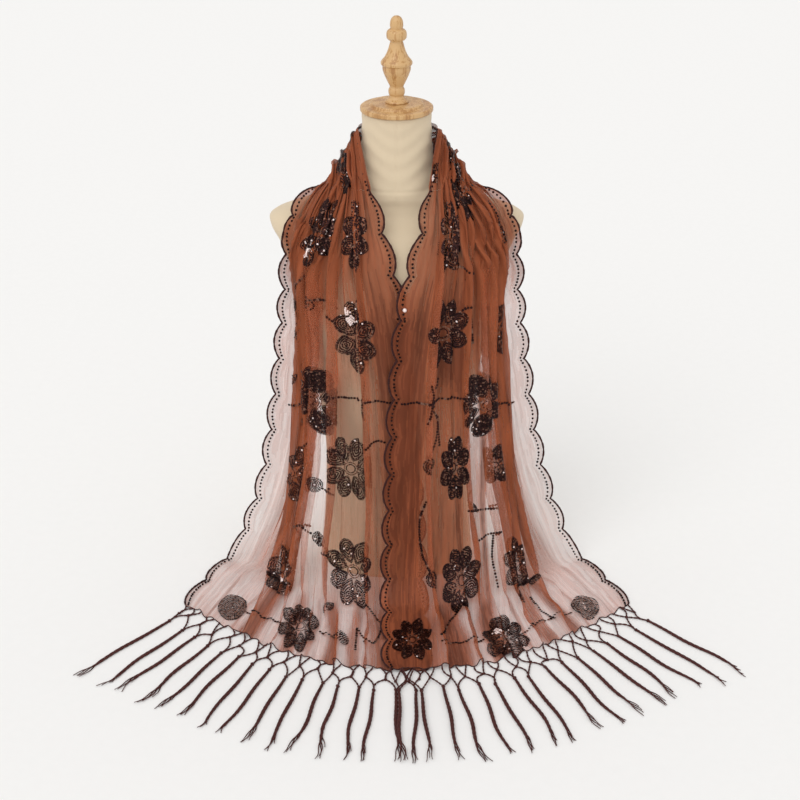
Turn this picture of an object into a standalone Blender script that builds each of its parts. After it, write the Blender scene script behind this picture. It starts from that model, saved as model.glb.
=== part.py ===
"""Evening stole draped on a limbless bust form.

The stole is one rectangle of net, gathered into long pleats: it lies round the back of the neck, hangs over
both shoulders and fans out on the surface that the form stands on. Metres, +Z up, the form faces -Y.
The origin is the middle of the form's flat underside.
"""
import functools
import math

import bmesh
import bpy
import numpy as np

# Stole: its cut and its edges
CLOTH_WIDTH = 0.48
SCALLOP_PITCH = 0.065
SCALLOP_DEPTH = 0.011
SCALLOPS_TO_HEM = 16
SCALLOPS_TO_SEAM = 3
WALL = 0.0012
THICKEST = 2.0
EDGE_INSET = 0.007
SEAM_GAP = 0.0003
HALF_LENGTH = SCALLOPS_TO_HEM * SCALLOP_PITCH
SEAM_ALONG = SCALLOPS_TO_SEAM * SCALLOP_PITCH

# The drape: one row for each station along the stole, from the middle of the nape to the hem.
# in_ is the edge by the neck and centre front, out_ the outer edge; x is measured outwards from the centre.
# flare hollows the row between neck and shoulder, or bulges it where it is negative,
# wrap bows it round the chest, drift moves it to +X.
DRAPE_COLUMNS = ("along", "in_x", "in_y", "in_z", "out_x", "out_y", "out_z", "flare", "wrap", "drift")
DRAPE = (
    (0.000, 0.0000, 0.0600, 0.7400, 0.0000, 0.1060, 0.5700, 0.45, 0.00, 0.0000),
    (0.050, 0.0440, 0.0430, 0.7440, 0.0400, 0.1010, 0.5780, 0.10, 0.00, 0.0010),
    (0.100, 0.0600, -0.0080, 0.7480, 0.0740, 0.0820, 0.6060, -0.50, 0.00, 0.0020),
    (0.150, 0.0510, -0.0490, 0.7120, 0.1010, 0.0430, 0.6450, -0.80, 0.00, 0.0030),
    (0.200, 0.0430, -0.0730, 0.6660, 0.1290, -0.0060, 0.6540, -0.10, 0.10, 0.0050),
    (0.260, 0.0310, -0.0930, 0.6120, 0.1650, -0.0440, 0.6230, 0.00, 0.85, 0.0080),
    (0.325, 0.0130, -0.1120, 0.5520, 0.1760, -0.0500, 0.5620, 0.00, 1.00, 0.0070),
    (0.390, 0.0000, -0.1230, 0.4860, 0.1800, -0.0430, 0.5010, 0.00, 1.00, 0.0070),
    (0.455, -0.0060, -0.1260, 0.4210, 0.1865, -0.0380, 0.4420, 0.00, 1.00, 0.0070),
    (0.585, -0.0155, -0.1280, 0.2895, 0.2030, -0.0330, 0.3150, 0.00, 1.00, 0.0085),
    (0.715, -0.0225, -0.1290, 0.1590, 0.2250, -0.0310, 0.1850, 0.00, 1.00, 0.0105),
    (0.780, -0.0255, -0.1330, 0.0960, 0.2435, -0.0300, 0.1200, 0.00, 1.00, 0.0115),
    (0.845, -0.0275, -0.1500, 0.0380, 0.2660, -0.0290, 0.0600, 0.00, 1.00, 0.0115),
    (0.900, -0.0280, -0.1900, 0.0010, 0.2940, -0.0300, 0.0050, 0.00, 1.00, 0.0125),
    (0.960, -0.0280, -0.2560, 0.0000, 0.3240, -0.0790, 0.0000, 0.00, 1.00, 0.0140),
    (1.040, -0.0280, -0.3470, 0.0000, 0.3590, -0.1670, 0.0000, 0.00, 1.00, 0.0160),
)
WRAP_FULLNESS, LYING_FULLNESS = 2.1, 1.25
CLEARANCE = 0.0070

# The pleats where the ends hang: one row for each fold, from the inner edge to the outer.
# wide is its share of the row, deep how far it stands out beside the others.
FOLD_COLUMNS = ("left_wide", "left_deep", "right_wide", "right_deep", "neck_deep")
FOLDS = (
    (0.235, 0.04, 0.160, 0.06, 0.15),
    (0.065, 0.85, 0.075, 0.90, 0.75),
    (0.090, 0.22, 0.100, 0.20, 0.60),
    (0.090, 0.20, 0.085, 0.35, 0.80),
    (0.055, 0.90, 0.075, 0.80, 0.70),
    (0.075, 0.10, 0.080, 0.10, 0.90),
    (0.042, 1.05, 0.045, 0.90, 0.80),
    (0.044, 0.98, 0.045, 1.05, 0.90),
    (0.042, 1.10, 0.050, 1.15, 0.75),
    (0.046, 1.00, 0.050, 0.95, 0.75),
    (0.065, 0.30, 0.065, 0.35, 0.45),
    (0.150, 0.06, 0.155, 0.06, 0.10),
)
FOLD_COUNT = len(FOLDS)
NECK_BORDER_WIDE = 0.12
HEM_BORDER_WIDE, HEM_BORDER_DEEP = 0.18, 0.10
HEM_EVEN_DEEP, HEM_UNEVEN_DEEP = 0.45, 0.65
NECK_ENDS, HANG_STARTS = 0.17, 0.40
HANG_ENDS, HEM_STARTS = 0.80, 1.00

# The deepest whole fold at the neck, where the rest of the cloth lies in finer gathers, and how it grows
PLEAT_NECK, PLEAT_GROWS = 0.0088, 0.0165

# How far a pleat leans outwards for each metre that it stands out
LEAN_NECK, LEAN_HANG, LEAN_FLOOR = 0.5, 1.2, 0.3
LEAN_EASES, LEAN_SETTLES = 0.50, 0.88

# The right end lies over the left one at the centre front
LIFT_HANGING, LIFT_LYING = 0.0085, 0.0045
LIFT_STARTS, LIFT_FULL = 0.26, 0.34
LIFT_SHARE, LIFT_FADE = 0.24, 0.36
LIFT_SHARE_HEM, LIFT_FADE_HEM = 0.19, 0.30

# Columns and rows of the wall's faces
DEEP_FOLD = 0.5
COLUMNS_DEEP, COLUMNS_SHALLOW = 4, 2
FINE_PER_SCALLOP = 4
HALF_ROWS = ((0.0, 7.0), (12.0, 14.0))
QUARTER_ROWS = ((2.5, 3.5), (13.5, 14.0))

# Fringe: a strip along the hem, two rows of knots, and the tails of each tassel
TASSELS = 16
STRIP_GAP, STRIP_WIDE = 0.0012, 0.0026
STRAND_WIDE, STRAND_THICK = 0.0020, 0.0016
KNOT_RADIUS = 0.0038
KNOT_ROW_1, KNOT_ROW_2 = 0.025, 0.053
ROOT_SPLAY = 0.30
END_KNOT, END_SPLAY = 0.34, 0.27
TAIL_OFFSETS = (-1.0, 0.0, 1.0)
TAIL_FAN = math.radians(36)
TAIL_BEND, TAIL_LONG = 0.016, 0.168
SIDE_TAIL_GROWS, SIDE_TAIL_STARTS = 0.15, 0.78
TAIL_SPREAD, TAIL_SPLAY = 0.0032, 0.0060
TAIL_SWAY = 0.022
FRINGE_TURN = math.radians(43)
FRINGE_LOW = 0.0005
CROSSING_LIFT = 0.0024
CROSSING_ENDS, CROSSING_FADE = 0.055, 0.100

# Bust form: rings from the floor to the neck, with the half width and the depths to the front and back
FORM_COLUMNS = ("height", "half_wide", "front", "back")
FORM = (
    (0.000, 0.1240, 0.0850, 0.0850),
    (0.006, 0.1260, 0.0870, 0.0870),
    (0.100, 0.1200, 0.0840, 0.0830),
    (0.200, 0.1170, 0.0840, 0.0790),
    (0.300, 0.1250, 0.0940, 0.0810),
    (0.400, 0.1400, 0.1080, 0.0870),
    (0.470, 0.1530, 0.1130, 0.0910),
    (0.530, 0.1660, 0.1080, 0.0920),
    (0.575, 0.1830, 0.0960, 0.0880),
    (0.596, 0.1940, 0.0830, 0.0780),
    (0.608, 0.1965, 0.0720, 0.0690),
    (0.618, 0.1860, 0.0630, 0.0620),
    (0.628, 0.1600, 0.0580, 0.0580),
    (0.639, 0.1250, 0.0570, 0.0560),
    (0.652, 0.0900, 0.0600, 0.0550),
    (0.668, 0.0690, 0.0580, 0.0545),
    (0.690, 0.0590, 0.0540, 0.0530),
    (0.730, 0.0535, 0.0510, 0.0510),
    (0.7735, 0.0520, 0.0500, 0.0500),
)
FORM_SIDES = 36
FORM_SQUARE, NECK_SQUARE = 2.3, 2.0
SQUARE_ENDS, NECK_STARTS = 0.60, 0.67

# Neck cap and finial, turned: radius, and height above the piece's own foot
CAP_FOOT = 0.7738
CAP_PROFILE = (
    (0.0525, 0.0000), (0.0550, 0.0018), (0.0550, 0.0062), (0.0525, 0.0080),
    (0.0420, 0.0084), (0.0405, 0.0095), (0.0400, 0.0118), (0.0380, 0.0128),
)
CAP_SIDES = 32
FINIAL_FOOT = CAP_FOOT + CAP_PROFILE[-1][1] + 0.0003
FINIAL_PROFILE = (
    (0.0175, 0.0000), (0.0180, 0.0016), (0.0165, 0.0035), (0.0125, 0.0065), (0.0108, 0.0105),
    (0.0121, 0.0135), (0.0124, 0.0170), (0.0118, 0.0205), (0.0104, 0.0230), (0.0106, 0.0250),
    (0.0125, 0.0290), (0.0165, 0.0375), (0.0198, 0.0455), (0.0212, 0.0514), (0.0211, 0.0550),
    (0.0234, 0.0578), (0.0237, 0.0604), (0.0225, 0.0627), (0.0172, 0.0695), (0.0128, 0.0795),
    (0.0102, 0.0885), (0.0094, 0.0918), (0.0122, 0.0938), (0.0148, 0.0972), (0.0151, 0.1012),
    (0.0146, 0.1054), (0.0118, 0.1088), (0.0092, 0.1100), (0.0099, 0.1150), (0.0093, 0.1210),
    (0.0068, 0.1262), (0.0030, 0.1287),
)
FINIAL_SIDES = 16


def smooth(low, high, value):
    """Rise from 0 to 1 between low and high, level at both ends."""
    share = np.clip((value - low) / (high - low), 0.0, 1.0)
    return share * share * (3.0 - 2.0 * share)


def level_curve(places, values, at):
    """Smooth curve through a table's values that never swings past them."""
    steps = np.diff(places)
    slopes = np.diff(values) / steps
    rises = slopes[:-1] * slopes[1:] > 0.0
    bottom = np.where(rises, slopes[:-1] + slopes[1:], 1.0)
    inner = np.where(rises, 2.0 * slopes[:-1] * slopes[1:] / bottom, 0.0)
    tangents = np.concatenate(([slopes[0]], inner, [slopes[-1]]))
    index = np.clip(np.searchsorted(places, at, side="right") - 1, 0, len(steps) - 1)
    step = steps[index]
    share = (at - places[index]) / step
    return (
        values[index] * (1.0 + 2.0 * share) * (1.0 - share) ** 2
        + tangents[index] * step * share * (1.0 - share) ** 2
        + values[index + 1] * share**2 * (3.0 - 2.0 * share)
        + tangents[index + 1] * step * share**2 * (share - 1.0)
    )


def mirrored_drape():
    """The drape with its second row mirrored before the nape, so that its curves cross the nape smoothly."""
    rows = np.array(DRAPE)
    mirrored = rows[1].copy()
    for name in ("along", "in_x", "out_x", "drift"):
        mirrored[DRAPE_COLUMNS.index(name)] *= -1.0
    return np.vstack((mirrored, rows))


DRAPE_ROWS = mirrored_drape()
FORM_ROWS = np.array(FORM)
FOLD_ROWS = np.array(FOLDS)


def fold_column(name):
    """One column of the pleats' table."""
    return FOLD_ROWS[:, FOLD_COLUMNS.index(name)]


def form_column(name):
    """One column of the form's table."""
    return FORM_ROWS[:, FORM_COLUMNS.index(name)]


def drape(name, along):
    """Value of one column of the drape at a distance along the stole."""
    return float(level_curve(DRAPE_ROWS[:, 0], DRAPE_ROWS[:, DRAPE_COLUMNS.index(name)], along))


def form_ring(heights):
    """Half width, front, back and squareness of the form at some heights."""
    places = form_column("height")
    heights = np.clip(heights, places[0], places[-1])
    columns = [level_curve(places, form_column(name), heights) for name in ("half_wide", "front", "back")]
    square = FORM_SQUARE + (NECK_SQUARE - FORM_SQUARE) * smooth(SQUARE_ENDS, NECK_STARTS, heights)
    return (*columns, square)


def form_share(points):
    """How far out points lie at their height: 1 is just clear of the form."""
    half_wide, front, back, square = form_ring(points[:, 2] - CLEARANCE)
    depth = np.where(points[:, 1] > 0.0, back, front) + CLEARANCE
    sideways = np.abs(points[:, 0]) / (half_wide + CLEARANCE)
    return (sideways**square + (np.abs(points[:, 1]) / depth) ** square) ** (1.0 / square)


def clear_of_form(points, out):
    """Move what would lie inside the form outwards until it rests on it."""
    low = np.zeros(len(points))
    high = np.where(form_share(points) < 1.0, 0.05, 0.0)
    for _ in range(10):
        middle = (low + high) / 2.0
        inside = form_share(points + middle[:, None] * out) < 1.0
        low = np.where(inside, middle, low)
        high = np.where(inside, high, middle)
    return points + high[:, None] * out


def base_points(along, share):
    """Points of the smooth sheet under the pleats: share runs from 0 at the inner edge to 1 at the outer."""
    share = share[:, None]
    inner = np.array([drape(name, along) for name in ("in_x", "in_y", "in_z")])
    outer = np.array([drape(name, along) for name in ("out_x", "out_y", "out_z")])
    quarter = share * math.pi / 2.0
    lying = float(smooth(HANG_ENDS, HEM_STARTS, along))
    power = WRAP_FULLNESS + (LYING_FULLNESS - WRAP_FULLNESS) * lying
    fullness = math.pi * np.clip(share, 0.0, 1.0) ** power
    bow = (1.0 + np.cos(fullness)) / 2.0 * (1.0 - lying) + np.cos(fullness / 2.0) * lying
    level, upright = 1.0 - np.cos(quarter), np.sin(quarter)
    straight = inner + (outer - inner) * share
    flared = inner + (outer - inner) * np.hstack((level, level, upright))
    wrapped = straight.copy()
    wrapped[:, 1:2] = outer[1] + (inner[1] - outer[1]) * bow
    flare, wrap = drape("flare", along), drape("wrap", along)
    points = straight + flare * (flared - straight) + wrap * (wrapped - straight)
    points[:, 2] += WALL / 2.0
    return points


def unit(vectors):
    """Vectors of length 1."""
    return vectors / np.linalg.norm(vectors, axis=1)[:, None]


def base_frame(along, share):
    """Points of the smooth sheet, resting on the form, with the directions across it and out of it."""
    step = 0.001
    across = base_points(along, share + step) - base_points(along, share - step)
    down = base_points(along + step, share) - base_points(along - step, share)
    out = unit(np.cross(down, across))
    return clear_of_form(base_points(along, share), out), unit(across), out


def row_width(along):
    """Width of the smooth sheet on one row."""
    return np.linalg.norm(np.diff(base_points(along, np.linspace(0.0, 1.0, 60)), axis=0), axis=1).sum()


def fold_sizes(side, along):
    """Feet and depths of the folds: even at the neck and the hem, from the table where the ends hang."""
    right = float(smooth(-SEAM_ALONG, SEAM_ALONG, side * along))
    hang_wide = fold_column("left_wide") * (1.0 - right) + fold_column("right_wide") * right
    hang_deep = fold_column("left_deep") * (1.0 - right) + fold_column("right_deep") * right
    order = np.arange(FOLD_COUNT)
    border = (order == 0) | (order == FOLD_COUNT - 1)
    hanging = float(smooth(NECK_ENDS, HANG_STARTS, along))
    lying = float(smooth(HANG_ENDS, HEM_STARTS, along))
    border_wide = HEM_BORDER_WIDE if along > HANG_ENDS else NECK_BORDER_WIDE
    even_wide = np.where(border, border_wide, (1.0 - 2.0 * border_wide) / (FOLD_COUNT - 2))
    neck_deep = fold_column("neck_deep")
    hem_deep = np.where(border, HEM_BORDER_DEEP, HEM_EVEN_DEEP + HEM_UNEVEN_DEEP * (order % 2))
    wide = even_wide + (hang_wide / hang_wide.sum() - even_wide) * hanging * (1.0 - lying)
    deep = (neck_deep + (hang_deep - neck_deep) * hanging) * (1.0 - lying) + hem_deep * lying
    return np.concatenate(([0.0], np.cumsum(wide))), deep


def fold_height(feet, deep, share):
    """Height of the pleats over the smooth sheet, in whole folds."""
    inside = np.clip(share, 0.0, 1.0)
    fold = np.clip(np.searchsorted(feet, inside, side="right") - 1, 0, FOLD_COUNT - 1)
    place = (inside - feet[fold]) / (feet[fold + 1] - feet[fold])
    return deep[fold] * np.sin(np.pi * place) ** 2


def lean_at(along):
    """How far the pleats lean outwards."""
    lean = LEAN_NECK + (LEAN_HANG - LEAN_NECK) * smooth(NECK_ENDS, HANG_STARTS, along)
    return float(lean + (LEAN_FLOOR - lean) * smooth(LEAN_EASES, LEAN_SETTLES, along))


def lift(side, along, share):
    """Room that the right end leaves for the left one under it."""
    lying = smooth(HANG_ENDS, HEM_STARTS, along)
    height = LIFT_HANGING + (LIFT_LYING - LIFT_HANGING) * lying
    fade_from = LIFT_SHARE + (LIFT_SHARE_HEM - LIFT_SHARE) * lying
    fade_to = LIFT_FADE + (LIFT_FADE_HEM - LIFT_FADE) * lying
    over = (1.0 - smooth(fade_from, fade_to, share)) * smooth(LIFT_STARTS, LIFT_FULL, along)
    return over * height if side > 0 else over * 0.0


@functools.lru_cache(maxsize=None)
def pleat_scale(side, along):
    """Depth of a whole fold that makes the row as long as the cloth is wide, or the most that fits."""
    share = np.linspace(0.0, 1.0, 241)
    points, across, out = base_frame(along, share)
    feet, deep = fold_sizes(side, along)
    height = fold_height(feet, deep, share)[:, None]
    lean_out = out + lean_at(along) * across
    low, high = 0.0, 0.06
    for _ in range(22):
        middle = (low + high) / 2.0
        length = np.linalg.norm(np.diff(points + height * middle * lean_out, axis=0), axis=1).sum()
        low, high = (middle, high) if length < CLOTH_WIDTH else (low, middle)
    return min((low + high) / 2.0, PLEAT_NECK + PLEAT_GROWS * float(smooth(NECK_ENDS, HANG_STARTS, along)))


def wall_row(side, along, share):
    """Points of the wall's outer face, inner face and middle on one row."""
    points, across, out = base_frame(along, share)
    feet, deep = fold_sizes(side, along)
    scale = pleat_scale(side, along)
    lean_out = out + lean_at(along) * across
    step = 0.002
    height = fold_height(feet, deep, share) * scale
    climb = (fold_height(feet, deep, share + step) - fold_height(feet, deep, share - step)) * scale
    base_run = base_points(along, share + step) - base_points(along, share - step)
    pleated_run = base_run + climb[:, None] * lean_out
    steepness = np.linalg.norm(pleated_run, axis=1) / np.linalg.norm(base_run, axis=1)
    thick = WALL * np.clip(steepness, 1.0, THICKEST)
    lifted = points + lift(side, along, share)[:, None] * out
    faces = [
        lifted + (height + thick / 2.0)[:, None] * lean_out,
        lifted + np.maximum(height - thick / 2.0, -WALL / 2.0)[:, None] * lean_out,
        lifted + height[:, None] * lean_out,
    ]
    for face in faces:
        face[:, 0] = side * face[:, 0] + drape("drift", along)
    return faces


def row_shares(side, along):
    """Where the wall's columns lie across a row: at the feet, flanks and crests of its folds."""
    feet, _ = fold_sizes(side, along)
    deepest = np.maximum(fold_column("left_deep"), fold_column("right_deep"))
    inset = EDGE_INSET / row_width(along)
    feet[0], feet[-1] = inset, 1.0 - inset
    shares = [inset]
    for fold in range(FOLD_COUNT):
        count = COLUMNS_DEEP if deepest[fold] > DEEP_FOLD else COLUMNS_SHALLOW
        shares += [feet[fold] + (feet[fold + 1] - feet[fold]) * step / count for step in range(1, count + 1)]
    return np.array(shares)


def edge_pair(mesh, signed, side, outer_edge):
    """The outer and inner point of the wall on its scalloped edge."""
    along = abs(signed)
    side = side if along < 1e-9 else int(math.copysign(1, signed))
    beyond = SCALLOP_DEPTH * abs(math.sin(math.pi * along / SCALLOP_PITCH)) ** 0.75 / row_width(along)
    share = np.array([1.0 + beyond if outer_edge else -beyond])
    outer, inner, _ = wall_row(side, along, share)
    return mesh.verts.new(outer[0]), mesh.verts.new(inner[0])


def edge_line(mesh, stations, outer_edge):
    """Points of one scalloped edge, in a list for each step between rows and one for the last row."""
    line = []
    for (side, start), (next_side, end) in zip(stations[:-1], stations[1:]):
        first, run = side * start, next_side * end - side * start
        count = max(1, round(abs(run) / SCALLOP_PITCH * FINE_PER_SCALLOP))
        line.append([edge_pair(mesh, first + run * step / count, side, outer_edge) for step in range(count)])
    side, along = stations[-1]
    line.append([edge_pair(mesh, side * along, side, outer_edge)])
    return line


def tile(mesh, here, there):
    """Triangles between two lines of points, paired by how far along its line each point is."""
    first, second = 0, 0
    while first < len(here) - 1 or second < len(there) - 1:
        step_first = first < len(here) - 1 and (
            second == len(there) - 1 or (first + 0.5) * (len(there) - 1) <= (second + 0.5) * (len(here) - 1)
        )
        if step_first:
            mesh.faces.new((here[first], here[first + 1], there[second]))
            first += 1
        else:
            mesh.faces.new((here[first], there[second + 1], there[second]))
            second += 1


def stole_stretch(name, stations, material):
    """One stretch of the stole as a closed wall with scalloped edges, from rows of (side, along)."""
    mesh = bmesh.new()
    rows = []
    for side, along in stations:
        faces = wall_row(side, along, row_shares(side, along))[:2]
        rows.append([[mesh.verts.new(point) for point in face] for face in faces])
    edges = [edge_line(mesh, stations, outer_edge) for outer_edge in (False, True)]
    for index in range(len(stations) - 1):
        for layer in (0, 1):
            here, there = rows[index][layer], rows[index + 1][layer]
            tile(mesh, here, there)
            for line, column in zip(edges, (0, -1)):
                fine = [pair[layer] for pair in line[index]] + [line[index + 1][0][layer]]
                tile(mesh, [here[column], there[column]], fine)
        for line in edges:
            fine = line[index] + [line[index + 1][0]]
            for first, second in zip(fine[:-1], fine[1:]):
                mesh.faces.new((first[0], second[0], second[1], first[1]))
    for index in (0, -1):
        first, last = edges[0][index][0], edges[1][index][0]
        outer, inner = ([first[layer]] + rows[index][layer] + [last[layer]] for layer in (0, 1))
        for column in range(len(outer) - 1):
            mesh.faces.new((outer[column], outer[column + 1], inner[column + 1], inner[column]))
    return finish_mesh(name, mesh, material)


def row_places(first, last):
    """Distances along the stole where the wall has rows: one a scallop, and more where it turns or bends."""
    places = []
    scallops = float(first)
    while scallops <= last:
        places.append(scallops * SCALLOP_PITCH)
        halved = any(start <= scallops < end for start, end in HALF_ROWS)
        quartered = any(start <= scallops < end for start, end in QUARTER_ROWS)
        scallops += 0.25 if quartered else 0.5 if halved else 1.0
    return places


def front_stations(side):
    """Rows of one front, from the seam on the shoulder to the hem."""
    places = row_places(SCALLOPS_TO_SEAM, SCALLOPS_TO_HEM)
    places[0] += SEAM_GAP / 2.0
    return [(side, along) for along in places]


def nape_stations():
    """Rows round the back of the neck, from the left seam to the right one."""
    places = row_places(0, SCALLOPS_TO_SEAM)
    places[-1] -= SEAM_GAP / 2.0
    return [(-1, along) for along in reversed(places)] + [(1, along) for along in places[1:]]


def flat_way(vector):
    """The level direction of a vector, of length 1."""
    level = np.array(vector[:2], dtype=float)
    return level / np.linalg.norm(level)


def turned(way, angle):
    """A level direction turned to its left."""
    cos, sin = math.cos(angle), math.sin(angle)
    return np.array([way[0] * cos - way[1] * sin, way[0] * sin + way[1] * cos])


@functools.lru_cache(maxsize=None)
def hem_line(side):
    """Shares and points of the wall's last row, from edge to edge."""
    shares = np.concatenate(([0.0], row_shares(side, HALF_LENGTH), [1.0]))
    return shares, wall_row(side, HALF_LENGTH, shares)[2]


def hem_root(side, share):
    """Point on the hem, the direction along the hem and the direction in which its fringe lies."""
    shares, line = hem_line(side)
    index = int(np.clip(np.searchsorted(shares, share, side="right") - 1, 0, len(shares) - 2))
    part = (share - shares[index]) / (shares[index + 1] - shares[index])
    root = line[index] * (1.0 - part) + line[index + 1] * part
    turn = FRINGE_TURN * max(0.0, side * root[0]) / DRAPE[-1][4]
    return root, flat_way(line[index + 1] - line[index]), np.array([side * math.sin(turn), -math.cos(turn)])


def strand_low(side, place):
    """Height of a strand's underside: the right fringe passes over the left one at the centre front."""
    if side < 0:
        return FRINGE_LOW
    return FRINGE_LOW + CROSSING_LIFT * (1.0 - float(smooth(CROSSING_ENDS, CROSSING_FADE, place[0])))


def strand_section(mesh, side, centre, way):
    """Three points across a strand: left, right and ridge, seen along its way."""
    low = strand_low(side, centre)
    left = turned(way, math.pi / 2.0) * STRAND_WIDE / 2.0
    places = ((centre + left, low), (centre - left, low), (centre, low + STRAND_THICK))
    return [mesh.verts.new((place[0], place[1], height)) for place, height in places]


def facing(section):
    """A strand's section seen from its other end."""
    return [section[1], section[0], section[2]]


def link(mesh, start, end):
    """Sides of a strand between two sections seen the same way."""
    for index in range(3):
        following = (index + 1) % 3
        mesh.faces.new((start[index], start[following], end[following], end[index]))


def knot(mesh, side, centre, ways):
    """A flat knot with an arm in each direction; the arms are returned in the order of the directions."""
    arms = [strand_section(mesh, side, centre + way * KNOT_RADIUS, way) for way in ways]
    order = sorted(range(len(ways)), key=lambda index: math.atan2(ways[index][1], ways[index][0]))
    ring = [arms[index] for index in order]
    mesh.faces.new([point for arm in ring for point in (arm[1], arm[0])])
    mesh.faces.new([arm[2] for arm in reversed(ring)])
    for arm, following in zip(ring, ring[1:] + ring[:1]):
        mesh.faces.new((arm[0], following[1], following[2], arm[2]))
    return arms


def strip_column(mesh, side, share, shift):
    """Four points across the strip: near and far from the hem, low and high."""
    root, along_hem, way = hem_root(side, share)
    place = root[:2] + along_hem * shift
    near, far = place + way * STRIP_GAP, place + way * (STRIP_GAP + STRIP_WIDE)
    low = max(strand_low(side, place), root[2] - STRAND_THICK / 2.0)
    high = low + STRAND_THICK
    corners = ((near, low), (far, low), (far, high), (near, high))
    return [mesh.verts.new((spot[0], spot[1], height)) for spot, height in corners]


def strip_cell(mesh, here, there, ridge):
    """Faces of the strip between two columns; a ridge point leaves an opening for a strand."""
    mesh.faces.new((here[0], here[1], there[1], there[0]))
    mesh.faces.new((here[0], there[0], there[3], here[3]))
    if ridge is None:
        mesh.faces.new((here[3], there[3], there[2], here[2]))
        mesh.faces.new((here[1], here[2], there[2], there[1]))
    else:
        mesh.faces.new((here[3], there[3], there[2], ridge, here[2]))
        mesh.faces.new((here[1], here[2], ridge))
        mesh.faces.new((there[1], ridge, there[2]))


def hem_strip(mesh, side, roots):
    """The strip along the hem; it returns the section that each root's strand leaves it from."""
    columns, ridges, sections = [strip_column(mesh, side, 0.0, 0.0)], [], []
    for share in roots:
        here = strip_column(mesh, side, share, -STRAND_WIDE / 2.0)
        there = strip_column(mesh, side, share, STRAND_WIDE / 2.0)
        ridge = mesh.verts.new((here[2].co + there[2].co) / 2.0)
        columns += [here, there]
        ridges += [None, ridge]
        left, right = (there, here) if side > 0 else (here, there)
        sections.append([left[1], right[1], ridge])
    columns.append(strip_column(mesh, side, 1.0, 0.0))
    ridges.append(None)
    for here, there, ridge in zip(columns[:-1], columns[1:], ridges):
        strip_cell(mesh, here, there, ridge)
    mesh.faces.new(columns[0])
    mesh.faces.new(columns[-1])
    return sections


def tassel_tails(mesh, centre, way, arms, long, side, sway):
    """The loose ends under a knot, close together and then splayed."""
    left = turned(way, math.pi / 2.0)
    end_way = turned(way, sway)
    for offset, arm in zip(TAIL_OFFSETS, arms):
        bend = centre + way * TAIL_BEND + left * offset * TAIL_SPREAD
        tip = centre + end_way * (long - offset * TAIL_SPREAD) + left * offset * TAIL_SPLAY
        middle = strand_section(mesh, side, bend, end_way)
        end = strand_section(mesh, side, tip, end_way)
        link(mesh, arm, middle)
        link(mesh, middle, end)
        mesh.faces.new(end)


def fringe(name, side, material):
    """The knotted fringe of one end, fused at its roots into a strip along the hem."""
    mesh = bmesh.new()
    knot_shares = [index / TASSELS for index in range(TASSELS + 1)]
    knot_shares[0], knot_shares[-1] = END_KNOT / TASSELS, 1.0 - END_KNOT / TASSELS
    splays = [END_SPLAY] + [ROOT_SPLAY] * (TASSELS - 1) + [END_SPLAY]
    roots = [share + sign * splay / TASSELS for share, splay in zip(knot_shares, splays) for sign in (-1, 1)]
    sections = hem_strip(mesh, side, roots)
    upper, lower, ways = [], [], []
    for share in knot_shares:
        root, _, way = hem_root(side, share)
        upper.append(root[:2] + way * KNOT_ROW_1)
    for index in range(TASSELS):
        root, _, way = hem_root(side, (index + 0.5) / TASSELS)
        lower.append(root[:2] + way * KNOT_ROW_2)
        ways.append(way)
    down_arms = [[] for _ in range(TASSELS)]
    for index, centre in enumerate(upper):
        above = sections[2 * index:2 * index + 2]
        below = [lower[near] for near in (index - 1, index) if 0 <= near < TASSELS]
        starts = [np.array((section[0].co + section[1].co) / 2.0)[:2] for section in above]
        arms = knot(mesh, side, centre, [flat_way(place - centre) for place in starts + below])
        for section, arm in zip(above, arms):
            link(mesh, section, facing(arm))
        for near, arm in zip([near for near in (index - 1, index) if 0 <= near < TASSELS], arms[2:]):
            down_arms[near].append(arm)
    for index, centre in enumerate(lower):
        way = ways[index]
        parents = [flat_way(upper[near] - centre) for near in (index, index + 1)]
        fan = [turned(way, offset * TAIL_FAN) for offset in TAIL_OFFSETS]
        arms = knot(mesh, side, centre, parents + fan)
        for start, arm in zip(down_arms[index], arms):
            link(mesh, start, facing(arm))
        sway = TAIL_SWAY * math.sin(2.4 * index + side)
        sideways = float(smooth(SIDE_TAIL_STARTS, 1.0, (index + 0.5) / TASSELS))
        long = TAIL_LONG * (1.0 + SIDE_TAIL_GROWS * sideways)
        tassel_tails(mesh, centre, way, arms[2:], long, side, sway)
    return finish_mesh(name, mesh, material)


def ring_stack(mesh, rings):
    """Close a stack of rings with sides and flat ends."""
    for lower, upper in zip(rings[:-1], rings[1:]):
        for index in range(len(lower)):
            following = (index + 1) % len(lower)
            mesh.faces.new((lower[index], lower[following], upper[following], upper[index]))
    mesh.faces.new(list(reversed(rings[0])))
    mesh.faces.new(rings[-1])


def form_body(material):
    """The limbless bust form under its linen cover."""
    mesh = bmesh.new()
    rings = []
    for height in form_column("height"):
        half_wide, front, back, square = form_ring(height)
        ring = []
        for step in range(FORM_SIDES):
            cos, sin = math.cos(math.tau * step / FORM_SIDES), math.sin(math.tau * step / FORM_SIDES)
            x = half_wide * math.copysign(abs(cos) ** (2.0 / square), cos)
            y = (back if sin > 0.0 else front) * math.copysign(abs(sin) ** (2.0 / square), sin)
            ring.append(mesh.verts.new((x, y, height)))
        rings.append(ring)
    ring_stack(mesh, rings)
    return finish_mesh("form_body", mesh, material)


def turned_piece(name, profile, foot, sides, material):
    """A piece turned on a lathe, from pairs of radius and height."""
    mesh = bmesh.new()
    rings = []
    for radius, height in profile:
        angles = [math.tau * step / sides for step in range(sides)]
        places = [(radius * math.cos(angle), radius * math.sin(angle), foot + height) for angle in angles]
        rings.append([mesh.verts.new(place) for place in places])
    ring_stack(mesh, rings)
    return finish_mesh(name, mesh, material)


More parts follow.
